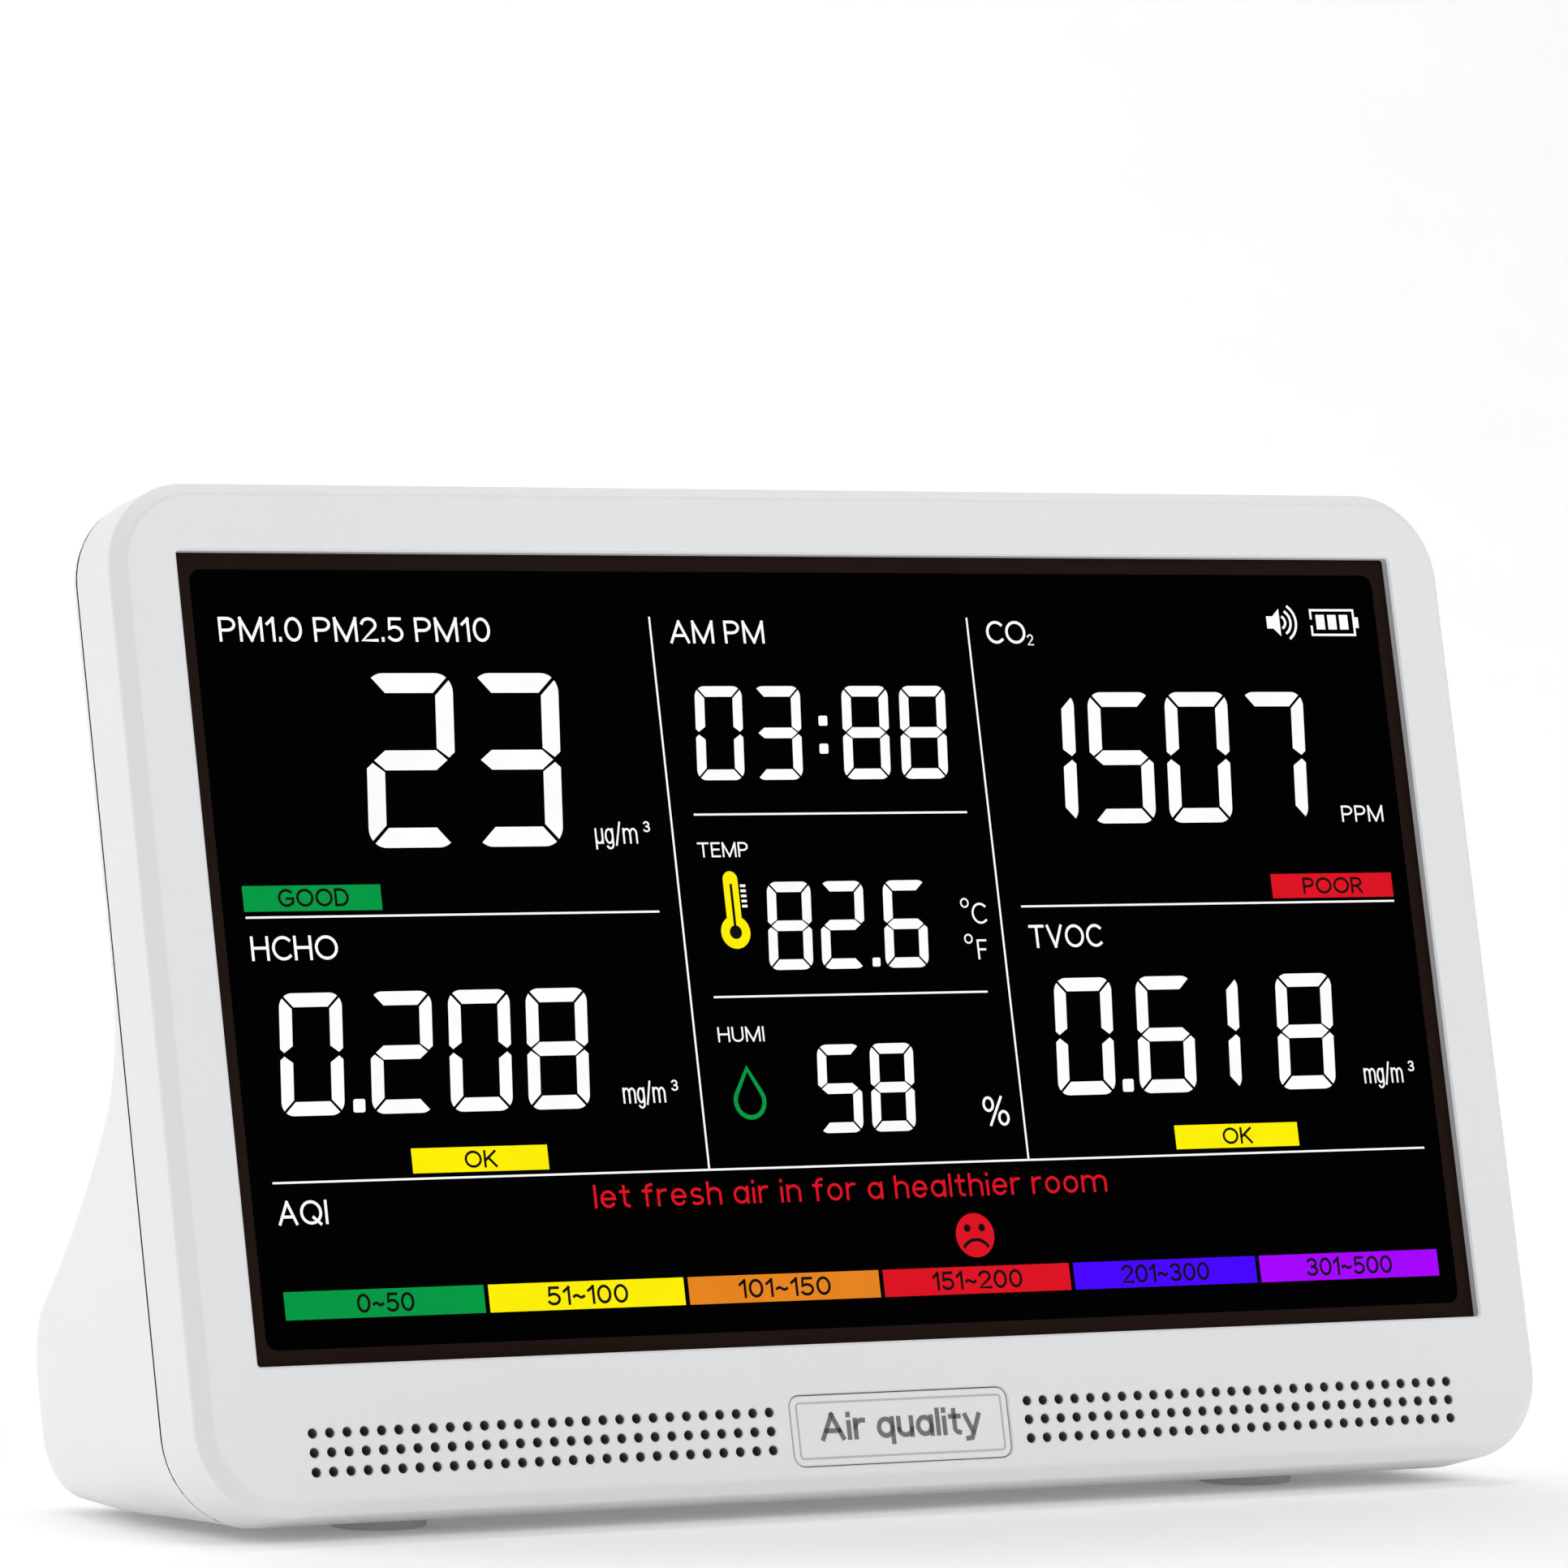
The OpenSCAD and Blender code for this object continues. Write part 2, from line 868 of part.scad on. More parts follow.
module sounder() {
  color(part_color)
    difference() {
      rod(sounder_x, sounder_v, sounder_r, 3, 8.4);
      rod(sounder_x, sounder_v, 1, 2, 4);
    }
}

module usb_outline(inset) {
  translate([usb_x, socket_v])
    rounded(usb_w - 2 * inset, usb_h - 2 * inset, usb_h / 2 - inset - 0.01);
}

module usb_socket() {
  color(metal_color)
    difference() {
      through(usb_end - usb_l, usb_end)
        usb_outline(0);
      through(usb_end - usb_l + usb_floor, usb_end + cut)
        usb_outline(usb_t);
    }
}

module usb_tongue() {
  color(part_color)
    block(usb_x - tongue_w / 2, usb_x + tongue_w / 2, usb_end - usb_l + usb_floor, usb_end - 1.2,
          socket_v - tongue_t / 2, socket_v + tongue_t / 2);
}

module usb_board() {
  color(board_color)
    block(usb_x - 9, usb_x + 9, foot_depth - 16, foot_depth - wall - 0.2,
          socket_v - usb_h / 2 - 1.1, socket_v - usb_h / 2 - 0.1);
}

// a square bar that runs straight back through the battery switch
module switch_bar(w, y0, y1) {
  block(switch_x - w / 2, switch_x + w / 2, y0, y1, socket_v - w / 2, socket_v + w / 2);
}

module battery_switch_body() {
  color(part_color)
    difference() {
      union() {
        switch_bar(switch_case_w, switch_rear - switch_case_l, switch_rear);
        switch_bar(switch_nose_w, switch_rear - 0.1, switch_rear + switch_nose_l);
      }
      switch_bar(switch_bore, switch_floor, switch_rear + switch_nose_l + cut);
    }
}

module battery_switch_plunger() {
  color([0.92, 0.92, 0.93])
    switch_bar(plunger_w, switch_floor + switch_travel + 0.2, plunger_end);
}

module switch_board() {
  color(board_color)
    block(switch_x - 8, switch_x + 6, foot_depth - 20, foot_depth - wall - 2,
          socket_v - 4.4, socket_v - 3.4);
}

tilted() {
  front_shell();
  rear_shell();
  display_window();
  badge_plate();
  side_cover();
  feet();
  case_screws();
  power_button();
  volume_button();
  brightness_button();
  clock_button();
  button_board();
  tact_switches();
  lcd_panel();
  backlight();
  lcd_bracket();
  bracket_screws();
  flex_cable();
  main_board();
  main_chips();
  board_screws();
  battery_cell();
  battery_cradle();
  battery_lead();
  particle_sensor_tray();
  particle_sensor_lid();
  sensor_fan_rotor();
  sensor_fan_axle();
  co2_sensor();
  formaldehyde_sensor();
  temp_humidity_sensor();
  sounder();
  usb_socket();
  usb_tongue();
  usb_board();
  battery_switch_body();
  battery_switch_plunger();
  switch_board();
}
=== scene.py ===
import json
import math

import bmesh
import bpy
import numpy as np
from mathutils import Matrix, Vector


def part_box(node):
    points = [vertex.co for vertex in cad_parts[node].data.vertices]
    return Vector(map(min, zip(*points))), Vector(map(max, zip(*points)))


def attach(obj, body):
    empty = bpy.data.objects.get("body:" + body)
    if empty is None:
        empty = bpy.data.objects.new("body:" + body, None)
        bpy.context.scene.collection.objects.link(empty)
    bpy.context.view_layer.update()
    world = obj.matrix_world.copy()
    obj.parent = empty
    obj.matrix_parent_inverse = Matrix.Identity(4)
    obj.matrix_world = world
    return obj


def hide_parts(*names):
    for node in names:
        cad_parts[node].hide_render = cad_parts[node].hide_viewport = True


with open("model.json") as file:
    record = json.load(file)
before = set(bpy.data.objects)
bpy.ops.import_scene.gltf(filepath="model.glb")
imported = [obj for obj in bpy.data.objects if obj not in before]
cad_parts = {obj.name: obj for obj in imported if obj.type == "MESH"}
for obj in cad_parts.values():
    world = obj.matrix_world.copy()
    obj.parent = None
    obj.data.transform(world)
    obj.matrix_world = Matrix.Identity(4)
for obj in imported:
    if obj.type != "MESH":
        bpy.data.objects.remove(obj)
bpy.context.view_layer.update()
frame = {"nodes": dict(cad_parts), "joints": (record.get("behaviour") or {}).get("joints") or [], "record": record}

# The case is modelled in the panel's own millimetres: x across it, w back from its front face and
# v up it. PANEL then leans the finished pieces back and puts them in the frame, in metres.
MM = 0.001

# Case
CASE_W = 190
CASE_H = 124
CORNER_R = 11
SEAM = 10.4
SEAM_GAP = 0.12
LIP_OUT = 1.5
WALL = 2.2
FACE_T = 2.6
CHAMFER_IN = 1.6
CHAMFER_DEEP = 1.8
UPPER_DEPTH = 15
FOOT_DEPTH = 59.986
SIDE_TAPER = 0.169
HEEL_R = 8

# Display
OPENING_W = 173.3
OPENING_H = 97.7
OPENING_V = 17.7
OPENING_MIDDLE = (0, OPENING_V + OPENING_H / 2)
WINDOW_SINK = 1.3
WINDOW_T = 1.2
WINDOW_LAP = 1.3
PRINT_T = 0.02
BORDER_W = 2

# Badge and front grille
BADGE_W = 31
BADGE_H = 8.8
BADGE_R = 1.5
BADGE_V = 7.2
GRILLE_D = 1.2
GRILLE_PITCH = 2.3
GRILLE_COLS = 28
GRILLE_ROWS = 3
GRILLE_X = 18.3
GRILLE_V = 5.05

# Rear vents
SLOT_W = 2.8
SLOT_H = 1.1
SLOT_R = 0.5
VENT_PITCH = 4.5
VENT_ROW = 2.376
VENT_TOP = 98.6
VENT_ROWS = 19
VENT_COLS = 29
VENT_STAGGER = 0.9
LABEL_ROW = 8
LOWER_PITCH = 4.48
LOWER_ROW = 2.46
LOWER_TOP = 28.7
LOWER_ROWS = 7
LOWER_COLS = 29
LOWER_X = 2

# Push buttons
PILL_X = 57.7
PILL_V = 114.2
PILL_W = 54.4
PILL_H = 12.4
PILL_SINK = 0.9
BUTTON_PITCH = 13.3
BUTTON_W = 12.3
BUTTON_H = 8.6
BUTTON_R = 4.2
BUTTON_CORNER = 1.1
BUTTON_GAP = 0.2
BUTTON_PROUD = 0.1
SLIT_W = 43
SLIT_H = 0.7
SLIT_V = 5.75

# Label pocket, sockets, side cover, screws and feet
LABEL_X = -1.35
LABEL_W = 33
LABEL_TOP = 79.9
LABEL_SINK = 0.9
LABEL_FADE = 34
USB_X = -71.5
SWITCH_X = 73
SOCKET_V = 19
USB_W = 9.24
USB_H = 3.5
SWITCH_OPEN = 4.9
SWITCH_BEVEL = 6.9
PLUNGER_W = 3.3
COVER_W = 16
COVER_H = 6.7
COVER_T = 0.9
COVER_DEPTH = 46
COVER_V = 23.7
SCREW_X = 89.6
SCREW_V = 117.3
SCREW_FLOOR = SEAM + 1.6
SCREW_WELL_R = 1.9
BOSS_R = 3.2
FOOT_D = 11.6
FOOT_PROUD = 1.5
FOOT_SINK = 0.8
FOOT_X = 62
FOOT_DEPTHS = (20, 50)


def joint_axis(name):
    return next(j["axis"] for j in frame["joints"] if j["name"] == name)


press = joint_axis("power_press")
TILT = math.atan2(press[2], -press[1])
TAN = math.tan(TILT)
COS = math.cos(TILT)
SIDE_LEAN = math.atan(SIDE_TAPER)
front_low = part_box("front_shell")[0]
PANEL = (
    Matrix.Translation((
        0,
        front_low.y - CHAMFER_IN * math.sin(TILT) * MM,
        front_low.z + SEAM * math.sin(TILT) * MM,
    ))
    @ Matrix.Rotation(-TILT, 4, "X")
    @ Matrix.Scale(MM, 4)
)


# ---- The rear of the case, as a distance from its surface ----

def inward(angle):
    return np.array([-math.cos(math.radians(angle)), -math.sin(math.radians(angle))])


SWEEP_TURN = 55
RAMP_TURN = 68
SWEEP_R = 18
RAMP_R = 152
SHOULDER_R = 11.3
SWEEP_C = np.array([UPPER_DEPTH + SWEEP_R, 67])
RAMP_C = SWEEP_C + (SWEEP_R - RAMP_R) * inward(SWEEP_TURN)
SHOULDER_C = RAMP_C + (RAMP_R + SHOULDER_R) * inward(RAMP_TURN)
EDGE_R = 4.4


def rounded_max(p, q, radius):
    """The greater of two distances, with the edge where they meet rounded."""
    beyond = np.hypot(np.maximum(p + radius, 0), np.maximum(q + radius, 0)) - radius
    return beyond + np.minimum(np.maximum(p, q) + radius, 0)


def ease(x, start, end):
    t = np.clip((x - start) / (end - start), 0, 1)
    return t * t * (3 - 2 * t)


def turned(centre, w, v):
    """The angle from straight forward, in degrees, at which a point lies below a centre."""
    return np.degrees(np.arctan2(centre[1] - v, centre[0] - w))


def back_distance(w, v):
    """How far a point is behind the back: flat, a tight sweep, a long ramp, a round shoulder."""
    sweep = SWEEP_R - np.hypot(w - SWEEP_C[0], v - SWEEP_C[1])
    ramp = RAMP_R - np.hypot(w - RAMP_C[0], v - RAMP_C[1])
    shoulder = np.hypot(w - SHOULDER_C[0], v - SHOULDER_C[1]) - SHOULDER_R
    return np.select(
        [
            v >= SWEEP_C[1],
            turned(SWEEP_C, w, v) < SWEEP_TURN,
            turned(RAMP_C, w, v) < RAMP_TURN,
            v > SHOULDER_C[1],
        ],
        [w - UPPER_DEPTH, sweep, ramp, shoulder],
        w - FOOT_DEPTH,
    )


def case_distance(points):
    """Distance outside the rear half of the case, negative inside it."""
    x, w, v = points[..., 0], points[..., 1], points[..., 2]
    behind = np.maximum(w - SEAM, 0)
    side = (np.abs(x) - (CASE_W / 2 - SIDE_TAPER * behind)) * math.cos(SIDE_LEAN)
    bottom = np.where(w < SEAM, -v, ((w - SEAM) * TAN - v) * COS)
    outline = rounded_max(side, v - CASE_H, CORNER_R)
    profile = rounded_max(bottom, back_distance(w, v), HEEL_R)
    low_front = (1 - ease(w, SEAM, 40)) * (1 - ease(v, 14, 24))
    edge = EDGE_R + (CORNER_R - EDGE_R) * low_front
    return rounded_max(outline, profile, edge)


def rear_form(inset, front):
    """The field of the rear half moved in by some distance and closed off at a depth."""
    def field(points):
        return np.maximum(case_distance(points) + inset, front - points[..., 1])
    return field


def slope(field, points, step=0.01):
    """The direction in which a field grows, and how fast."""
    axes = np.eye(3) * step
    return np.stack([(field(points + a) - field(points - a)) / (2 * step) for a in axes], -1)


def skin(field, low, high, cell):
    """A closed mesh of quads on the surface where a field is zero."""
    axes = [np.arange(a, b + cell, cell) for a, b in zip(low, high)]
    grid = np.stack(np.meshgrid(*axes, indexing="ij"), -1)
    inside = field(grid) < 0
    nx, ny, nz = (n - 1 for n in inside.shape)
    filled = sum(
        inside[i:i + nx, j:j + ny, k:k + nz].astype(int)
        for i in (0, 1) for j in (0, 1) for k in (0, 1)
    )
    crossed = (filled > 0) & (filled < 8)
    number = np.full(crossed.shape, -1)
    number[crossed] = np.arange(crossed.sum())
    points = grid[:-1, :-1, :-1][crossed] + cell / 2
    for _ in range(6):
        grad = slope(field, points)
        size = np.maximum((grad ** 2).sum(-1), 0.05)
        points = points - (field(points) / size)[:, None] * grad
    faces = []
    for axis in range(3):
        lower = np.take(inside, range(inside.shape[axis] - 1), axis)
        upper = np.take(inside, range(1, inside.shape[axis]), axis)
        ends = np.argwhere(lower != upper)
        across, up = np.eye(3, dtype=int)[(axis + 1) % 3], np.eye(3, dtype=int)[(axis + 2) % 3]
        ring = [ends, ends - across, ends - across - up, ends - up]
        quads = np.stack([number[tuple(corner.T)] for corner in ring], 1)
        outward = lower[tuple(ends.T)]
        quads[~outward] = quads[~outward][:, ::-1]
        faces += quads.tolist()
    return points.tolist(), faces


# ---- Building meshes ----

LEAST_R = 0.05


def arc(centre, radius, start, end, steps):
    """Points along an arc, with its angles in degrees."""
    angles = np.radians(np.linspace(start, end, steps + 1))
    return [(centre[0] + radius * math.cos(a), centre[1] + radius * math.sin(a)) for a in angles]


def rounded(width, height, radius, centre=(0, 0), steps=6):
    """A rectangle with round corners, anticlockwise from the top right one: one radius or four."""
    radii = radius if isinstance(radius, list) else [radius] * 4
    points = []
    for turn, (sx, sv) in enumerate([(1, 1), (-1, 1), (-1, -1), (1, -1)]):
        x = centre[0] + sx * (width / 2 - radii[turn])
        v = centre[1] + sv * (height / 2 - radii[turn])
        points += arc((x, v), radii[turn], 90 * turn, 90 * turn + 90, steps)
    return points


def inset_rounded(width, height, radius, centre=(0, 0), steps=6):
    """A function that gives the rounded rectangle moved in by some distance, or out if negative."""
    def outline(inset):
        corner = max(radius - inset, LEAST_R)
        return rounded(width - 2 * inset, height - 2 * inset, corner, centre, steps)
    return outline


def soften(points, radius, steps=3):
    """A line through the points with each corner along it rounded."""
    points = [Vector(p) for p in points]
    line = [points[0]]
    for before, corner, after in zip(points, points[1:], points[2:]):
        back, on = before - corner, after - corner
        reach = min(radius, back.length * 0.49, on.length * 0.49)
        start = corner + back.normalized() * reach
        end = corner + on.normalized() * reach
        for i in range(steps + 1):
            t = i / steps
            line.append(start * (1 - t) ** 2 + corner * 2 * t * (1 - t) + end * t ** 2)
    line.append(points[-1])
    return [tuple(p) for p in line]


def loft(rings, closed=False):
    """Vertices and faces of a solid whose skin runs through rings of equally many points."""
    size = len(rings[0])
    faces = []
    for k in range(len(rings) if closed else len(rings) - 1):
        a = k * size
        b = (k + 1) % len(rings) * size
        for i in range(size):
            j = (i + 1) % size
            faces.append((a + i, a + j, b + j, b + i))
    if not closed:
        faces.append(tuple(reversed(range(size))))
        faces.append(tuple(range(len(rings) * size - size, len(rings) * size)))
    return [tuple(p) for ring in rings for p in ring], faces


def stack(outline, profile, closed=False):
    """A solid of stacked outlines: each step of the profile is how far in, and how deep."""
    rings = [[(x, depth, v) for x, v in outline(inset)] for inset, depth in profile]
    return loft(rings, closed)


def prism(points, start, end):
    return loft([[(x, depth, v) for x, v in points] for depth in (start, end)])


def moved(solid, matrix):
    """A solid turned and moved, from its own directions to the panel's."""
    return [tuple(matrix @ Vector(p)) for p in solid[0]], solid[1]


def add(name, data):
    """A new object in the scene."""
    made = bpy.data.objects.new(name, data)
    bpy.context.scene.collection.objects.link(made)
    return made


def build(name, *solids):
    """A Blender object of one or more solids, still in the panel's millimetres."""
    verts = []
    faces = []
    for points, polygons in solids:
        start = len(verts)
        verts += points
        faces += [tuple(start + i for i in polygon) for polygon in polygons]
    mesh = bpy.data.meshes.new(name)
    mesh.from_pydata(verts, [], faces)
    bm = bmesh.new()
    bm.from_mesh(mesh)
    bmesh.ops.recalc_face_normals(bm, faces=bm.faces)
    bm.to_mesh(mesh)
    bm.free()
    return add(name, mesh)


def combine(piece, tool, operation="DIFFERENCE"):
    """Cuts a piece with a tool, or joins the tool to it, and removes the tool."""
    modifier = piece.modifiers.new(operation, "BOOLEAN")
    modifier.object = tool
    modifier.operation = operation
    modifier.solver = "MANIFOLD"
    seen = piece.evaluated_get(bpy.context.evaluated_depsgraph_get())
    mesh = bpy.data.meshes.new_from_object(seen)
    piece.modifiers.clear()
    piece.data = mesh
    bpy.data.objects.remove(tool)


def cut(piece, *solids):
    """Takes solids that don't touch each other out of a piece."""
    combine(piece, build("cutter", *solids))


SHARP = math.radians(32)


def finish(piece, material, body="case", stands_for=()):
    """Puts a piece in the frame with its finish, shaded smooth apart from its edges."""
    mesh = piece.data
    mesh.transform(PANEL)
    mesh.materials.clear()
    mesh.materials.append(material)
    mesh.polygons.foreach_set("use_smooth", [True] * len(mesh.polygons))
    mesh.set_sharp_from_angle(angle=SHARP)
    weighted = piece.modifiers.new("even_shading", "WEIGHTED_NORMAL")
    weighted.keep_sharp = True
    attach(piece, body)
    if stands_for:
        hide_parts(*stands_for)


# ---- Materials ----

class Surface:
    """A Principled material whose colour, roughness and grain come from noise."""

    def __init__(self, name, light, dark, roughness, spread=0.05, metallic=0, ior=1.46, patch=18):
        self.material = bpy.data.materials.new(name)
        self.material.use_nodes = True
        self.nodes = self.material.node_tree.nodes
        self.links = self.material.node_tree.links
        self.shader = self.nodes["Principled BSDF"]
        self.shader.inputs["Metallic"].default_value = metallic
        self.shader.inputs["IOR"].default_value = ior
        self.place = self.nodes.new("ShaderNodeTexCoord").outputs["Object"]
        self.colour("Base Color", self.noise(patch, 3), dark, light)
        rough = self.node(
            "ShaderNodeMapRange", {"To Min": roughness - spread, "To Max": roughness + spread}
        )
        self.links.new(self.noise(patch * 9, 2), rough.inputs["Value"])
        self.links.new(rough.outputs["Result"], self.shader.inputs["Roughness"])

    def node(self, kind, values):
        node = self.nodes.new(kind)
        for name, value in values.items():
            node.inputs[name].default_value = value
        return node

    def noise(self, scale, detail):
        node = self.node("ShaderNodeTexNoise", {"Scale": scale, "Detail": detail})
        self.links.new(self.place, node.inputs["Vector"])
        return node.outputs["Fac"]

    def colour(self, socket, factor, first, second):
        """Feeds the shader a colour that drifts between two with a noise."""
        ramp = self.nodes.new("ShaderNodeValToRGB")
        ends = ramp.color_ramp.elements
        ends[0].position, ends[1].position = 0.35, 0.65
        ends[0].color, ends[1].color = (*first, 1), (*second, 1)
        self.links.new(factor, ramp.inputs["Fac"])
        self.links.new(ramp.outputs["Color"], self.shader.inputs[socket])

    def grain(self, size_mm, depth_mm):
        """Moulded texture: bumps of a given size and depth."""
        bump = self.node("ShaderNodeBump", {"Strength": 1.0, "Distance": depth_mm * MM})
        self.links.new(self.noise(1 / (size_mm * MM), 2), bump.inputs["Height"])
        self.links.new(bump.outputs["Normal"], self.shader.inputs["Normal"])
        return self

    def glow(self, light, dark):
        """Light from behind, a little uneven as on a real display."""
        self.colour("Emission Color", self.noise(220, 1), dark, light)
        self.shader.inputs["Emission Strength"].default_value = 1.0
        return self


def srgb(red, green, blue):
    """A colour given by its screen values, as a linear one."""
    def linear(value):
        c = value / 255
        return c / 12.92 if c <= 0.04045 else ((c + 0.055) / 1.055) ** 2.4
    return tuple(linear(value) for value in (red, green, blue))


def shaded(colour, share):
    return tuple(channel * share for channel in colour)


def plastic(name, colour, roughness=0.5, grain_mm=0.22, depth_mm=0.012):
    light = srgb(*colour)
    surface = Surface(name, light, shaded(light, 0.985), roughness)
    return surface.grain(grain_mm, depth_mm).material


def metal(name, colour, roughness=0.32):
    light = srgb(*colour)
    surface = Surface(name, light, shaded(light, 0.85), roughness, metallic=1, patch=60)
    return surface.grain(0.3, 0.01).material


def lit(name, colour):
    """A lit shape on the display: it shows its own light and reflects next to nothing."""
    light = srgb(*colour)
    surface = Surface(name, shaded(light, 0.01), (0, 0, 0), 0.6, ior=1.1)
    return surface.glow(light, shaded(light, 0.96)).material


shell_white = plastic("shell_white", (226, 227, 229))
trim_white = plastic("trim_white", (227, 228, 230), grain_mm=0.18)
button_white = plastic("button_white", (228, 229, 231), 0.42, 0.16, 0.008)
shadow_grey = plastic("shadow_grey", (30, 30, 32), 0.8, 0.3, 0.01)
# Painted shade: a mid grey for the walls of the grille holes and the inner side of the white front half, where
# shade falls
grille_shade_grey = plastic("grille_shade_grey", (118, 119, 122), 0.7, 0.3, 0.01)
black_plastic = plastic("black_plastic", (30, 30, 32), 0.45)
foot_rubber = plastic("foot_rubber", (205, 206, 208), 0.75, 0.3, 0.03)
print_grey = plastic("print_grey", (62, 63, 66), 0.55, 0.1, 0.004)
badge_grey = plastic("badge_grey", (104, 105, 108), 0.5, 0.1, 0.004)
badge_line = plastic("badge_line", (182, 183, 185), 0.5, 0.1, 0.004)
window_black = Surface("window_black", (0.0006,) * 3, (0.0002,) * 3, 0.14, 0.02, ior=1.02)
window_black = window_black.grain(1.2, 0.002).material
border_brown = Surface("border_brown", srgb(35, 25, 22), srgb(33, 23, 20), 0.3, ior=1.02)
border_brown = border_brown.grain(0.4, 0.002).material

# The CAD pieces that stay in view take these finishes: colour, roughness, grain size and depth
SLOT_METALS = {
    "screw_black": [(70, 71, 74), 0.4],
    "sheet_metal": [(196, 198, 201)],
    "sensor_gold": [(214, 186, 112)],
}
SLOT_PLASTICS = {
    "circuit_board": [(24, 96, 60), 0.35, 0.5, 0.02],
    "lcd_glass": [(38, 40, 45), 0.15, 0.8, 0.002],
    "diffuser_white": [(226, 226, 222), 0.4],
    "flex_amber": [(205, 140, 60), 0.3, 0.4, 0.01],
    "cell_wrap": [(52, 104, 190), 0.28, 0.6, 0.006],
    "lead_red": [(200, 34, 34), 0.4],
}
SLOT_FINISHES = {"black_plastic": black_plastic, "button_white": button_white}
SLOT_FINISHES.update({name: metal(name, *look) for name, look in SLOT_METALS.items()})
SLOT_FINISHES.update({name: plastic(name, *look) for name, look in SLOT_PLASTICS.items()})


def dress_frame():
    """Gives each CAD piece that stays in view the finish of its slot."""
    for part in frame["record"]["subparts"]:
        piece = frame["nodes"][part["node"]]
        finish_of_slot = SLOT_FINISHES.get(part["material_slot"])
        if finish_of_slot:
            piece.data.materials.clear()
            piece.data.materials.append(finish_of_slot)


# ---- Shapes that the cases and their pieces share ----

face_outline = inset_rounded(CASE_W, CASE_H, CORNER_R, (0, CASE_H / 2), steps=12)
badge_outline = inset_rounded(BADGE_W, BADGE_H, BADGE_R, (0, BADGE_V), steps=6)
opening_outline = inset_rounded(OPENING_W, OPENING_H, 0.4, OPENING_MIDDLE, steps=3)
pill_outline = inset_rounded(PILL_W, PILL_H, PILL_H / 2 - 0.01, (PILL_X, PILL_V), steps=16)
usb_outline = inset_rounded(USB_W, USB_H, USB_H / 2 - 0.01, (USB_X, SOCKET_V), steps=10)
switch_outline = inset_rounded(SWITCH_OPEN, SWITCH_OPEN, 0.5, (SWITCH_X, SOCKET_V), steps=5)
well_outline = inset_rounded(
    2 * SCREW_WELL_R, 2 * SCREW_WELL_R, SCREW_WELL_R - 0.01, (0, 0), steps=8
)


def button_x(i):
    return PILL_X + BUTTON_PITCH * (1.5 - i)


def button_outline(i):
    """A button from the front: the first and last follow the round ends of their recess."""
    right = BUTTON_R if i == 0 else BUTTON_CORNER
    left = BUTTON_R if i == 3 else BUTTON_CORNER

    def outline(inset):
        radii = [radius - inset for radius in (right, left, left, right)]
        centre = (button_x(i), PILL_V)
        return rounded(BUTTON_W - 2 * inset, BUTTON_H - 2 * inset, radii, centre, 8)
    return outline


def on_side_wall():
    """Where the blanking cover sits: local x points out of the wall, y back along it."""
    out = CASE_W / 2 - SIDE_TAPER * (COVER_DEPTH - SEAM)
    place = Matrix.Translation((out, COVER_DEPTH, COVER_V))
    return place @ Matrix.Rotation(SIDE_LEAN, 4, "Z")


def cover_solid(inset, profile):
    """A rounded plate in the side wall: the profile gives how far in and how far out."""
    rings = []
    for step, out in profile:
        edge = step + inset
        points = rounded(COVER_W - 2 * edge, COVER_H - 2 * edge, max(1.0 - edge, 0.1), steps=5)
        rings.append([(out, y, v) for y, v in points])
    return moved(loft(rings), on_side_wall())


def foot_places():
    for x in (-FOOT_X, FOOT_X):
        for depth in FOOT_DEPTHS:
            place = Matrix.Translation((x, depth, (depth - SEAM) * TAN))
            yield place @ Matrix.Rotation(TILT, 4, "X")


def turned_solid(profile):
    """A solid of revolution about local z: the profile gives radius and height."""
    rings = []
    for radius, height in profile:
        rings.append([(x, y, height) for x, y in arc((0, 0), radius, 0, 360, 40)[:-1]])
    return loft(rings)


# ---- Front half of the case ----

RIM = 0.3


def grille_places():
    for side in (-1, 1):
        for column in range(GRILLE_COLS):
            for row in range(GRILLE_ROWS):
                yield side * (GRILLE_X + column * GRILLE_PITCH), GRILLE_V + row * GRILLE_PITCH


def grille_holes():
    for place in grille_places():
        yield stack(
            lambda inset: arc(place, GRILLE_D / 2 - inset, 0, 360, 20)[:-1],
            [(-0.14, -1), (-0.14, -0.01), (0, 0.14), (0, FACE_T + 1)],
        )


def near_any(x, v, places, width, height):
    """Which points lie within a small upright rectangle about any of the places."""
    across = np.abs(x[:, None] - places[:, 0]) < width / 2 + 0.05
    up = np.abs(v[:, None] - places[:, 1]) < height / 2 + 0.05
    return (across & up).any(axis=1)


def deep_in(deep, at_opening):
    """The inner side of a shell and the walls of its openings, all but their outer rim."""
    return (deep > WALL - RIM) | (deep > RIM) & at_opening


def darken(piece, material, chosen):
    """Paints shade on the faces that the rule chooses: they take a darker material that stands in for the shade
    deep inside the case.
    """
    mesh = piece.data
    mesh.materials.append(material)
    to_panel = PANEL.inverted()
    middle = np.array([tuple(to_panel @ polygon.center) for polygon in mesh.polygons])
    for i in np.flatnonzero(chosen(*middle.T)):
        mesh.polygons[int(i)].material_index = len(mesh.materials) - 1


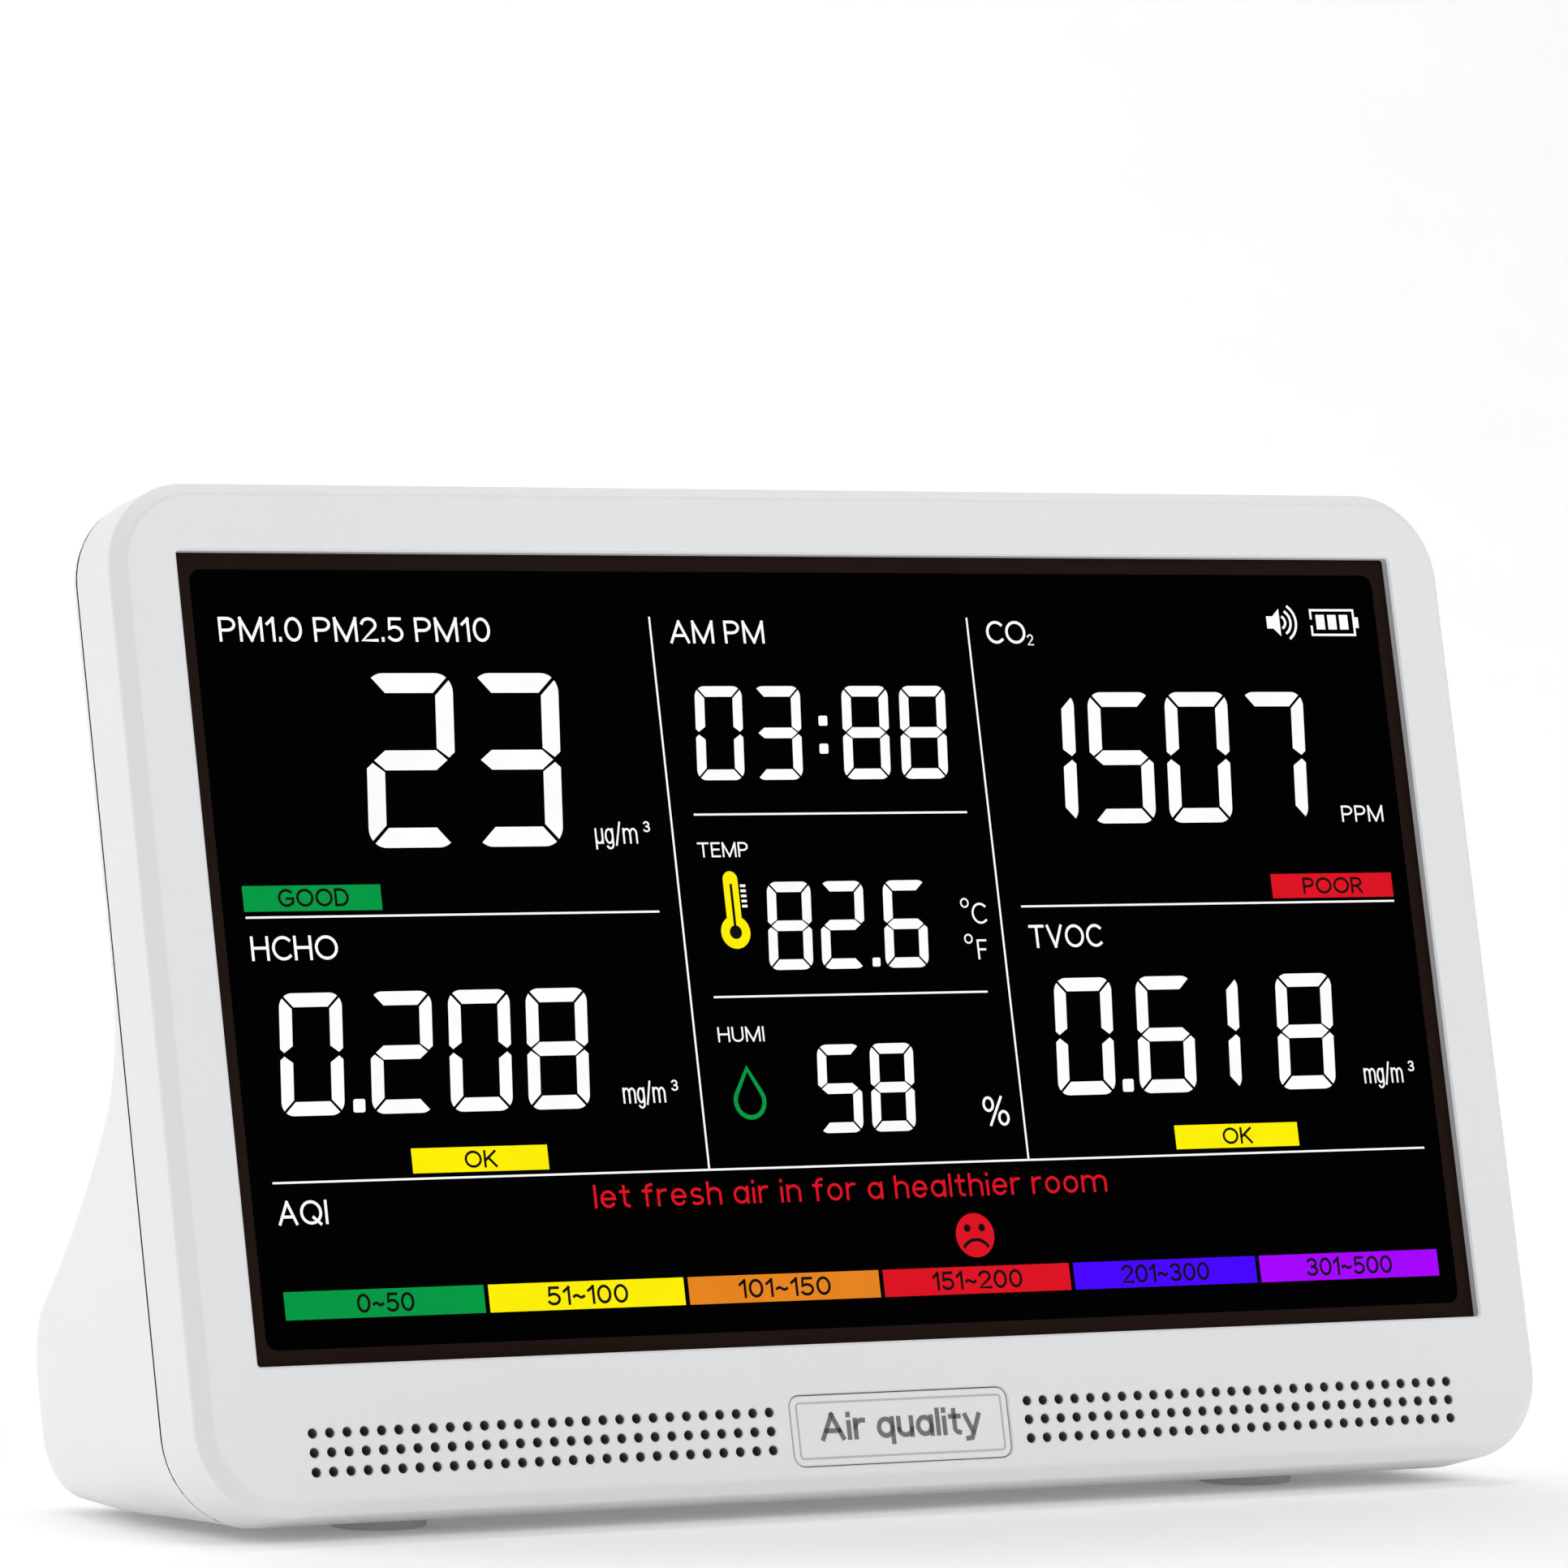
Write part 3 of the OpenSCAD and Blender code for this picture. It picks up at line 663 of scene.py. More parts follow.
def front_cover():
    profile = soften(
        [(CHAMFER_IN + 3, 0), (CHAMFER_IN, 0), (0, CHAMFER_DEEP), (0, SEAM - SEAM_GAP),
         (WALL, SEAM - SEAM_GAP)],
        0.35,
    )
    piece = build("front_cover", stack(face_outline, profile))
    cut(piece, stack(face_outline, [(WALL, FACE_T), (WALL, SEAM + 1)]))
    cut(piece, stack(opening_outline, [(-0.3, -1), (-0.3, -0.02), (0, 0.22), (0, FACE_T + 1)]))
    cut(piece, stack(opening_outline, [(-1.4, WINDOW_SINK), (-1.4, FACE_T + 1)]))
    cut(piece, stack(badge_outline, [(-0.18, -1), (-0.18, -0.01), (0, 0.18), (0, 1.2)]))
    cut(piece, *grille_holes())
    finish(piece, shell_white, stands_for=["front_shell"])
    holes = np.array(list(grille_places()))

    def in_shadow(x, w, v):
        deep = np.minimum(w, -case_distance(np.stack([x, w, v], 1)))
        return deep_in(deep, near_any(x, v, holes, GRILLE_D, GRILLE_D))

    # Paints shade into the grille holes and onto the inner side of the front half
    darken(piece, grille_shade_grey, in_shadow)


# ---- Rear half of the case ----

def slot_at(x, v, start, end):
    return prism(rounded(SLOT_W, SLOT_H, SLOT_R, (x, v), steps=4), start, end)


def vent_shown(row, column):
    dense = row > 0 and row % 2 == 0 and row < VENT_ROWS - 1
    phase = 1 if row == 0 or row % 4 == 1 or row == VENT_ROWS - 1 else 0
    beside_label = column < 11 or column > 18
    return (dense or column % 2 == phase) and (row < LABEL_ROW or beside_label)


def upper_vents():
    for row in range(VENT_ROWS):
        shift = VENT_STAGGER if row % 2 == 0 else -VENT_STAGGER
        for column in range(VENT_COLS):
            if vent_shown(row, column):
                x = shift - VENT_PITCH * (column - (VENT_COLS - 1) / 2)
                yield x, VENT_TOP - row * VENT_ROW


def lower_vents():
    for row in range(LOWER_ROWS):
        columns = LOWER_COLS + row % 2
        for column in range(columns):
            x = LOWER_X + LOWER_PITCH * (column - (columns - 1) / 2)
            yield x, LOWER_TOP - row * LOWER_ROW


def vent_slots():
    for x, v in upper_vents():
        yield slot_at(x, v, SEAM, UPPER_DEPTH + 6)
    for x, v in lower_vents():
        yield slot_at(x, v, FOOT_DEPTH - 9, FOOT_DEPTH + 1)


def label_pocket():
    """A shallow pocket that runs out along the sweep, with its top corners rounded."""
    corner = 1.6
    floor = UPPER_DEPTH - LABEL_SINK
    rows = []
    for angle in range(90, -1, -15):
        a = math.radians(angle)
        half = LABEL_W / 2 - corner + corner * math.cos(a)
        rows.append((half, floor, LABEL_TOP - corner + corner * math.sin(a)))
    for angle in range(0, LABEL_FADE + 1, 2):
        radius = SWEEP_R + LABEL_SINK * (1 - angle / LABEL_FADE)
        w, v = SWEEP_C + radius * inward(angle)
        rows.append((LABEL_W / 2, w, v))
    out = UPPER_DEPTH + 12
    rings = []
    for half, w, v in rows:
        rings.append([
            (LABEL_X - half, w, v), (LABEL_X + half, w, v),
            (LABEL_X + half, out, v), (LABEL_X - half, out, v),
        ])
    return loft(rings)


def at_screws(outline, profile):
    """The same turned shape at both case screws."""
    for x in (-SCREW_X, SCREW_X):
        rings = [[(x + px, w, SCREW_V + pv) for px, pv in outline(inset)] for inset, w in profile]
        yield loft(rings)


def ahead_of(depth):
    """All the room in front of a depth, to be cut away."""
    return prism(rounded(CASE_W + 20, CASE_H + 20, 1, (0, CASE_H / 2)), -20, depth)


def at_feet(profile):
    """The same turned shape at all four feet."""
    return [moved(turned_solid(profile), place) for place in foot_places()]


def rear_hollow():
    """The inside of the rear half, less the bosses that stand up in it."""
    low = (-100, SEAM - 12, -8)
    high = (100, FOOT_DEPTH + 8, CASE_H + 8)
    hollow = build("hollow", skin(rear_form(WALL, SEAM - 4), low, high, 2.6))
    boss = SCREW_WELL_R - BOSS_R
    pad_r = FOOT_D / 2 + 1.5
    combine(hollow, build("ahead", ahead_of(SEAM - LIP_OUT)))
    cut(hollow, *at_screws(well_outline, [(boss, SEAM - 3), (boss, 20)]))
    cut(hollow, *at_feet([(pad_r, -2), (pad_r, FOOT_SINK + 1.6)]))
    return hollow


def rear_lip():
    """The rim of the rear half that reaches into the front half."""
    inner, step, outer = 3.3, 2.35, 1.2
    profile = [
        (inner, SEAM - LIP_OUT), (step, SEAM - LIP_OUT), (step, SEAM + 0.4), (outer, SEAM + 0.4),
        (outer, SEAM + 1.6), (inner, SEAM + 1.6),
    ]
    return stack(face_outline, profile, closed=True)


def rear_recesses():
    """What is sunk into the rear half without going through it, and the two sockets."""
    floor = UPPER_DEPTH - PILL_SINK
    pill_rim = [(-1.1, 18), (-1.1, UPPER_DEPTH + 0.03), (0, UPPER_DEPTH - 0.35), (0.15, floor),
                (3, floor)]
    through = FOOT_DEPTH - WALL - 1
    usb_rim = [(-0.7, FOOT_DEPTH + 1), (-0.7, FOOT_DEPTH + 0.02), (0, FOOT_DEPTH - 0.6),
               (0, through)]
    bevel = (SWITCH_OPEN - SWITCH_BEVEL) / 2
    switch_rim = [(bevel - 0.3, FOOT_DEPTH + 1), (bevel - 0.3, FOOT_DEPTH + 0.02),
                  (bevel, FOOT_DEPTH - 0.2), (-0.1, FOOT_DEPTH - 1.15),
                  (0, FOOT_DEPTH - 1.3), (0, through)]
    well_rim = [(-0.3, 18), (-0.3, UPPER_DEPTH + 0.02), (0, UPPER_DEPTH - 0.3), (0, SCREW_FLOOR)]
    rim_r = FOOT_D / 2 + 0.35
    well_r = FOOT_D / 2 + 0.1
    return [
        stack(pill_outline, soften(pill_rim, 0.5, 4)),
        label_pocket(),
        stack(usb_outline, soften(usb_rim, 0.3, 3)),
        stack(switch_outline, switch_rim),
        cover_solid(0, [(0, -COVER_T), (0, -0.2), (-0.2, 0.01), (-0.2, 1)]),
        *at_screws(well_outline, well_rim),
        *at_feet([(rim_r, -2), (rim_r, -0.02), (well_r, 0.25), (well_r, FOOT_SINK)]),
    ]


def rear_cover():
    low = (-99, SEAM - 8, -4)
    high = (99, FOOT_DEPTH + 4, CASE_H + 4)
    piece = build("rear_cover", skin(rear_form(0, SEAM - 3), low, high, 1.3))
    cut(piece, ahead_of(SEAM + SEAM_GAP))
    combine(piece, rear_hollow())
    combine(piece, build("lip", rear_lip()), "UNION")
    cut(piece, *rear_recesses())
    slits = [rounded(SLIT_W, SLIT_H, 0.3, (PILL_X, PILL_V + side * SLIT_V), 4) for side in (-1, 1)]
    slits = [prism(slit, SEAM, UPPER_DEPTH) for slit in slits]
    shaft = SCREW_WELL_R - 1.25
    shafts = at_screws(well_outline, [(shaft, SCREW_FLOOR + 0.2), (shaft, SEAM - 2)])
    cut(piece, *slits, *vent_slots(), *shafts)
    holes = [(-BUTTON_GAP, SEAM), (-BUTTON_GAP, UPPER_DEPTH)]
    cut(piece, *[stack(button_outline(i), holes) for i in range(4)])
    finish(piece, shell_white, stands_for=["rear_shell"])
    vents = np.array([*upper_vents(), *lower_vents()])

    def in_shadow(x, w, v):
        deep = -case_distance(np.stack([x, w, v], 1))
        # Painted shade: the white lip seen through the seam takes the dark grey, so the seam shows as a dark line
        in_seam = (deep > 2 * RIM) & (w < SEAM + RIM)
        return deep_in(deep, near_any(x, v, vents, SLOT_W, SLOT_H)) | in_seam

    # Paints shade on the inner side of the rear half, the vent walls and the lip behind the seam
    darken(piece, shadow_grey, in_shadow)
    shade_by_field(piece)


def shade_by_field(piece):
    """Gives the outer skin the exact normals of the form that it was made from."""
    mesh = piece.data
    to_panel = np.array(PANEL.inverted())
    turn = np.array(PANEL.to_3x3().normalized())
    co = np.empty(len(mesh.vertices) * 3)
    mesh.vertices.foreach_get("co", co)
    points = co.reshape(-1, 3) @ to_panel[:3, :3].T + to_panel[:3, 3]
    on_skin = np.abs(case_distance(points)) < 0.02
    normals = slope(case_distance, points)
    normals /= np.maximum(np.linalg.norm(normals, axis=1), 1e-6)[:, None]
    normals = normals @ turn.T
    loops = np.empty(len(mesh.loops), int)
    mesh.loops.foreach_get("vertex_index", loops)
    totals = np.empty(len(mesh.polygons), int)
    mesh.polygons.foreach_get("loop_total", totals)
    flat = np.empty(len(mesh.polygons) * 3)
    mesh.polygons.foreach_get("normal", flat)
    face_of_loop = np.repeat(flat.reshape(-1, 3), totals, axis=0)
    wanted = normals[loops]
    agrees = (wanted * face_of_loop).sum(-1) > 0.93
    wanted[~(agrees & on_skin[loops])] = 0
    piece.modifiers.clear()
    mesh.normals_split_custom_set(wanted.tolist())


# ---- Small outer pieces ----

def window():
    width = OPENING_W + 2 * WINDOW_LAP
    height = OPENING_H + 2 * WINDOW_LAP
    outline = inset_rounded(width, height, 0.5, OPENING_MIDDLE, steps=3)
    profile = soften([(3, WINDOW_SINK), (0, WINDOW_SINK), (0, WINDOW_SINK + WINDOW_T),
                      (3, WINDOW_SINK + WINDOW_T)], 0.12)
    piece = build("display_glass", stack(outline, profile))
    finish(piece, window_black, stands_for=["display_window"])
    inner = rounded(OPENING_W - 2 * BORDER_W, OPENING_H - 2 * BORDER_W, 1.5, OPENING_MIDDLE)
    outer = rounded(OPENING_W + 1, OPENING_H + 1, 0.5, OPENING_MIDDLE)
    front = WINDOW_SINK - PRINT_T
    back = WINDOW_SINK + 0.05
    corners = ((outer, front), (inner, front), (inner, back), (outer, back))
    rings = [[(x, depth, v) for x, v in outline] for outline, depth in corners]
    border = build("display_border", loft(rings, closed=True))
    finish(border, border_brown)


def nameplate():
    gap = 0.12
    step = 0.9
    profile = soften([(3, 0.12), (gap, 0.12), (gap, 1.2), (3, 1.2)], 0.25)
    piece = build("nameplate", stack(badge_outline, profile))
    finish(piece, trim_white, stands_for=["badge_plate"])
    ridge = soften([(step, 0.2), (step, 0.06), (step + 0.25, 0.06), (step + 0.25, 0.2)], 0.06)
    line = build("nameplate_line", stack(badge_outline, ridge, closed=True))
    finish(line, badge_line)
    word = lettering("Air quality", left=-11.4, base=BADGE_V - 1.3, cap=3.4, width=22.8, weight=0.17)
    put_shapes("nameplate_lettering", word, badge_grey, 0.06, 0.2)


def side_cover():
    profile = soften([(0.8, -0.02), (0, -0.02), (0, 0.1 - COVER_T), (0.8, 0.1 - COVER_T)], 0.25)
    piece = build("blanking_cover", cover_solid(0.12, profile))
    finish(piece, trim_white, stands_for=["side_cover"])


def foot_pads():
    radius = FOOT_D / 2
    profile = soften([(0.6, -FOOT_PROUD), (radius, -FOOT_PROUD), (radius, FOOT_SINK),
                      (0.6, FOOT_SINK)], 0.5, 4)
    finish(build("foot_pads", *at_feet(profile)), foot_rubber, stands_for=["feet"])


def push_buttons():
    top = UPPER_DEPTH + BUTTON_PROUD
    flange = UPPER_DEPTH - WALL - 0.75
    profile = soften([(1.0, top), (0, top), (0, flange + 0.6), (-0.35, flange + 0.6),
                      (-0.35, flange), (1.0, flange)], 0.6, 4)
    for i, (word, icon) in enumerate(icons().items()):
        cap = build(f"{word}_cap", stack(button_outline(i), profile))
        finish(cap, button_white, f"{word}_key", [f"{word}_button"])
        shapes = [place_icon(shape, i) for shape in icon]
        put_shapes(f"{word}_symbol", shapes, print_grey,
                   top + PRINT_T, top - 0.05, f"{word}_key")


def switch_plunger():
    outline = inset_rounded(PLUNGER_W, PLUNGER_W, 0.4, (SWITCH_X, SOCKET_V), steps=4)
    end = FOOT_DEPTH - 0.3
    profile = soften([(1, end), (0, end), (0, end - 5.9), (1, end - 5.9)], 0.3)
    cap = build("battery_switch_cap", stack(outline, profile))
    finish(cap, button_white, "switch_plunger", ["battery_switch_plunger"])


# ---- Flat printed and lit shapes: points across and up, with polygons through them ----

def polygon(points):
    return [tuple(p) for p in points], [tuple(range(len(points)))]


def bar(left, low, right, high):
    return polygon([(left, low), (right, low), (right, high), (left, high)])


def disc(centre, radius, steps=28):
    return polygon(arc(centre, radius, 0, 360, steps)[:-1])


def stroke(points, width):
    """A line of even width through the points; it closes up if it ends where it began."""
    line = [Vector(points[0])]
    for point in points[1:]:
        if (Vector(point) - line[-1]).length > 1e-4:
            line.append(Vector(point))
    closed = (line[0] - line[-1]).length < 1e-4
    if closed:
        line.pop()
    else:
        line[0] += (line[0] - line[1]).normalized() * width * 0.5
        line[-1] += (line[-1] - line[-2]).normalized() * width * 0.5
    count = len(line)
    left = []
    right = []
    for i, point in enumerate(line):
        before = line[i - 1] if closed or i > 0 else None
        after = line[(i + 1) % count] if closed or i < count - 1 else None
        ahead = (after - point).normalized() if after else (point - before).normalized()
        behind = (point - before).normalized() if before else ahead
        along = ahead + behind
        along = along.normalized() if along.length > 0.1 else ahead
        across = Vector((-along.y, along.x))
        spread = width / 2 / max(across.dot(Vector((-ahead.y, ahead.x))), 0.7)
        left.append(tuple(point + across * spread))
        right.append(tuple(point - across * spread))
    faces = []
    for i in range(count if closed else count - 1):
        j = (i + 1) % count
        faces.append((count + i, count + j, j, i))
    return left + right, faces


def shifted(shape, dx, dv, scale=1):
    return [(x * scale + dx, v * scale + dv) for x, v in shape[0]], shape[1]


def bend(x, y, rx, ry, start, end):
    """Points along part of an ellipse."""
    steps = max(4, round(abs(end - start) / 18))
    return [(x + rx * across, y + ry * up) for across, up in arc((0, 0), 1, start, end, steps)]


def ring(x, y, rx, ry):
    """A whole ellipse, closed by coming back to its first point."""
    return bend(x, y, rx, ry, 90, 450)


TALL = [(0, 0), (0, 1)]
STEM = [(0, 0), (0, 0.72)]
ARCH = bend(0.24, 0.46, 0.24, 0.26, 180, 0) + [(0.48, 0)]
CUP = bend(0.24, 0.24, 0.24, 0.24, 180, 360)
BOWL = [(0, 0), (0, 1), (0.3, 1)] + bend(0.3, 0.73, 0.28, 0.27, 90, -90) + [(0, 0.46)]
ROUND = ring(0.26, 0.36, 0.26, 0.36)

# Each letter as its strokes, one unit high from the base line to the top of a capital
STROKES = {
    "A": [[(0, 0), (0.38, 1)], [(0.76, 0), (0.38, 1)], [(0.13, 0.32), (0.63, 0.32)]],
    "C": [bend(0.42, 0.5, 0.42, 0.5, 48, 312)],
    "D": [[(0, 0), (0, 1), (0.28, 1)] + bend(0.28, 0.5, 0.42, 0.5, 90, -90) + [(0, 0)]],
    "E": [[(0.52, 1), (0, 1), (0, 0), (0.52, 0)], [(0, 0.52), (0.47, 0.52)]],
    "F": [[(0.52, 1), (0, 1), (0, 0)], [(0, 0.5), (0.45, 0.5)]],
    "G": [bend(0.42, 0.5, 0.42, 0.5, 48, 322), [(0.46, 0.46), (0.82, 0.46), (0.78, 0.16)]],
    "H": [TALL, [(0.66, 0), (0.66, 1)], [(0, 0.52), (0.66, 0.52)]],
    "I": [TALL],
    "K": [TALL, [(0.6, 1), (0, 0.38)], [(0.2, 0.58), (0.64, 0)]],
    "M": [TALL, [(0, 1), (0.42, 0)], [(0.42, 0), (0.84, 1)], [(0.84, 1), (0.84, 0)]],
    "O": [ring(0.44, 0.5, 0.44, 0.5)],
    "P": [BOWL],
    "Q": [ring(0.44, 0.5, 0.44, 0.5), [(0.54, 0.26), (0.84, -0.04)]],
    "R": [BOWL, [(0.3, 0.46), (0.6, 0)]],
    "T": [[(0, 1), (0.68, 1)], [(0.34, 1), (0.34, 0)]],
    "U": [[(0, 1)] + bend(0.32, 0.32, 0.32, 0.32, 180, 360) + [(0.64, 1)]],
    "V": [[(0, 1), (0.36, 0)], [(0.72, 1), (0.36, 0)]],
    "0": [ring(0.3, 0.5, 0.3, 0.5)],
    "1": [[(0, 0.76), (0.24, 1)], [(0.24, 1), (0.24, 0)]],
    "2": [bend(0.28, 0.72, 0.28, 0.28, 165, -38) + [(0, 0), (0.58, 0)]],
    "3": [bend(0.27, 0.75, 0.25, 0.25, 150, -90), bend(0.27, 0.26, 0.29, 0.26, 90, -150)],
    "5": [[(0.5, 1), (0.08, 1), (0.04, 0.54)] + bend(0.26, 0.31, 0.29, 0.31, 125, -145)],
    "~": [[(n / 20, 0.42 + 0.07 * math.sin(n * math.pi / 5)) for n in range(11)]],
    ".": [[(0, 0), (0, 0.08)]],
    "/": [[(0, -0.1), (0.34, 1.05)]],
    "%": [ring(0.17, 0.76, 0.17, 0.24), ring(0.7, 0.24, 0.17, 0.24), [(0.2, 0), (0.66, 1)]],
    "µ": [[(0, -0.28), (0, 0.72)], CUP + [(0.48, 0.72)], [(0.48, 0.3), (0.48, 0)]],
    "a": [ROUND, [(0.52, 0.72), (0.52, 0)]],
    "e": [[(0.01, 0.37), (0.52, 0.37)] + bend(0.26, 0.36, 0.26, 0.36, 12, 318)],
    "f": [[(0.13, 0), (0.13, 0.78)] + bend(0.33, 0.8, 0.2, 0.2, 180, 85), [(0, 0.7), (0.32, 0.7)]],
    "g": [ROUND, [(0.52, 0.72), (0.52, -0.06)] + bend(0.28, -0.06, 0.24, 0.22, 0, -145)],
    "h": [TALL, ARCH],
    "i": [[(0, 0), (0, 0.64)], [(0, 0.97), (0, 1)]],
    "l": [TALL],
    "m": [STEM, ARCH, [(0.48 + x, y) for x, y in ARCH]],
    "n": [STEM, ARCH],
    "o": [ROUND],
    "q": [ROUND, [(0.52, 0.72), (0.52, -0.28)]],
    "r": [STEM, bend(0.26, 0.42, 0.26, 0.3, 180, 80)],
    "s": [bend(0.22, 0.54, 0.19, 0.18, 45, 270) + bend(0.22, 0.18, 0.22, 0.18, 90, -130)],
    "t": [[(0.14, 0.95), (0.14, 0.2)] + bend(0.32, 0.2, 0.18, 0.2, 180, 265), [(0, 0.7), (0.32, 0.7)]],
    "u": [CUP, [(0, 0.24), (0, 0.72)], [(0.48, 0), (0.48, 0.72)]],
    "y": [[(0, 0.72), (0.26, 0)], [(0.52, 0.72), (0.2, -0.26), (0.04, -0.28)]],
}
LETTER_GAP = 0.25
WORD_GAP = 0.34


def lettering(text, left, base, cap, width, weight=0.12):
    """Words in even strokes, fitted to a capital height and a width."""
    strokes = []
    reach = 0
    for character in text:
        if character == " ":
            reach += WORD_GAP
            continue
        glyph = STROKES[character]
        strokes += [[(reach + x, y) for x, y in line] for line in glyph]
        reach += max(x for line in glyph for x, y in line) + LETTER_GAP
    thick = weight * cap
    across = (width - thick) / max(reach - LETTER_GAP, 0.3)
    up = cap - thick
    shapes = []
    for line in strokes:
        points = [(left + thick / 2 + x * across, base + thick / 2 + y * up) for x, y in line]
        shapes.append(stroke(points, thick))
    return shapes


def put_shapes(name, shapes, material, near, far, body="case"):
    """Raises flat shapes into thin solids between two depths."""
    bm = bmesh.new()
    for points, polygons in shapes:
        verts = [bm.verts.new((x, near, v)) for x, v in points]
        for face in polygons:
            bm.faces.new([verts[i] for i in face])
    bmesh.ops.remove_doubles(bm, verts=bm.verts, dist=0.0005)
    raised = bmesh.ops.extrude_face_region(bm, geom=bm.faces[:])
    for part in raised["geom"]:
        if isinstance(part, bmesh.types.BMVert):
            part.co.y = far
    bmesh.ops.recalc_face_normals(bm, faces=bm.faces)
    mesh = bpy.data.meshes.new(name)
    bm.to_mesh(mesh)
    bm.free()
    finish(add(name, mesh), material, body)


# ---- Button symbols, drawn as seen from behind ----

LINE = 0.26


def place_icon(shape, i):
    return [(button_x(i) - u, PILL_V + t) for u, t in shape[0]], shape[1]


def speaker(size, line, waves):
    """A loudspeaker with sound waves, its cone at the middle."""
    cone = [(-1.5, -0.6), (-0.8, -0.6), (0, -1.35), (0, 1.35), (-0.8, 0.6), (-1.5, 0.6)]
    shapes = [polygon([(x * size, v * size) for x, v in cone])]
    for n in range(waves):
        shapes.append(stroke(arc((0, 0), (0.62 + 0.62 * n) * size, -55, 55, 10), line))
    return shapes


def icons():
    power = [stroke(arc((0, -0.35), 1.5, 115, 425, 26), LINE), stroke([(0, 0.1), (0, 1.75)], LINE)]
    volume = [shifted(shape, 0, 1.55) for shape in speaker(0.95, 0.2, 3)]
    volume.append(stroke([(-1.7, -2.6), (0, -0.9), (1.7, -2.6)], LINE))
    sun = (0, 1.5)
    brightness = [
        stroke(arc(sun, 0.85, 90, 270, 12), 0.2),
        polygon(arc(sun, 0.95, -90, 90, 14)),
        stroke([(-1.7, -1.0), (0, -2.6), (1.7, -1.0)], LINE),
    ]
    for n in range(8):
        ray = [arc(sun, r, 45 * n, 45 * n, 1)[0] for r in (1.25, 1.65)]
        brightness.append(stroke(ray, 0.18))
    clock = [
        stroke(arc((0, 0), 1.75, 0, 360, 36), LINE),
        stroke([(0, 1.0), (0, 0), (0.75, -0.4)], 0.22),
    ]
    clock += [disc(arc((0, 0), 2.15, 36 * n, 36 * n, 1)[0], 0.2, 10) for n in range(10)]
    return {"power": power, "volume": volume, "brightness": brightness, "clock": clock}


# ---- Display: places are measured from its middle and from its lower edge ----

SLANT = 0.083
SEGMENTS = {
    "0": "abcdef", "1": "bc", "2": "abged", "3": "abgcd", "5": "afgcd",
    "6": "afgedc", "7": "abc", "8": "abcdefg",
}


def segment_shapes(width, height, thick):
    """The seven bars of a digit about its middle, upright, keyed by their usual letters."""
    half_w = width / 2
    half_h = height / 2
    gap = thick * 0.13
    spread = math.degrees(gap * 0.75 / thick)
    corner = (half_w - thick, half_h - thick)
    top = (
        arc(corner, thick, 90, 45 + spread, 4)
        + [(half_w - thick - gap, half_h - thick), (gap + thick - half_w, half_h - thick)]
        + [(-x, v) for x, v in arc(corner, thick, 45 + spread, 90, 4)]
    )
    right = arc(corner, thick, 45 - spread, 0, 4) + [
        (half_w, thick * 0.40),
        (half_w - thick * 0.32, gap),
        (half_w - thick, thick * 0.60),
        (half_w - thick, half_h - thick - gap),
    ]
    tip = half_w - thick * 0.42
    shoulder = half_w - thick * 1.05
    middle = [(tip, 0), (shoulder, thick / 2), (-shoulder, thick / 2), (-tip, 0),
              (-shoulder, -thick / 2), (shoulder, -thick / 2)]
    return {
        "a": top,
        "b": right,
        "c": [(x, -v) for x, v in right],
        "d": [(x, -v) for x, v in top],
        "e": [(-x, -v) for x, v in right],
        "f": [(-x, v) for x, v in right],
        "g": middle,
    }


def digits(text, centres, middle, width, height, thick):
    """Seven-segment digits, each about its own centre, leaning to the right."""
    bars = segment_shapes(width, height, thick)
    shapes = []
    for character, centre in zip(text, centres):
        for letter in SEGMENTS[character]:
            shapes.append(polygon([(centre + x + v * SLANT, middle + v) for x, v in bars[letter]]))
    return shapes


def dot(x, v, size):
    half = size / 2
    return polygon([(px + (pv - v) * SLANT, pv) for px, pv in rounded(size, size, half * 0.3, (x, v), 2)])


def spaced(first, pitch, count):
    return [first + pitch * n for n in range(count)]


def readings():
    small = dict(width=8.4, height=14.7, thick=1.68)
    clock = dict(width=6.65, height=11.7, thick=1.32)
    climate = dict(width=6.2, height=10.9, thick=1.28)
    shapes = digits("23", (-57.8, -43.25), 72.25, width=12.0, height=21.3, thick=2.42)
    shapes += digits("1507", spaced(31.78, 11.46, 4), 72.05, width=9.4, height=16.7, thick=1.85)
    shapes += digits("0208", (-75.25, -63.15, -52.5, -41.9), 36.9, **small)
    shapes += digits("0618", (33.0, 45.0, 51.75, 65.85), 36.9, **small)
    shapes += digits("0388", (-14.6, -6.3, 6.3, 14.6), 75.4, **clock)
    shapes += digits("826", (-7.65, -0.15, 8.9), 51.4, **climate)
    shapes += digits("58", (-3.1, 4.4), 31.15, **climate)
    shapes += [dot(-69.6, 30.6, 1.6), dot(38.55, 30.6, 1.6), dot(4.1, 46.7, 1.1)]
    shapes += [dot(0.3, 76.9, 1.25), dot(0.0, 73.4, 1.25)]
    return shapes


def separators():
    line = 0.125
    edge = 82.2
    rules = [(-edge, 53.4, -25.8), (-19.5, 65.3, 19.6), (-19.5, 42.75, 19.6),
             (25.9, 53.35, 81.7), (-edge, 21.65, 81.7)]
    shapes = [bar(left, v - line, right, v + line) for left, v, right in rules]
    for x in (-22.75, 22.75):
        shapes.append(bar(x - line, 21.65, x + line, 89.9))
    return shapes


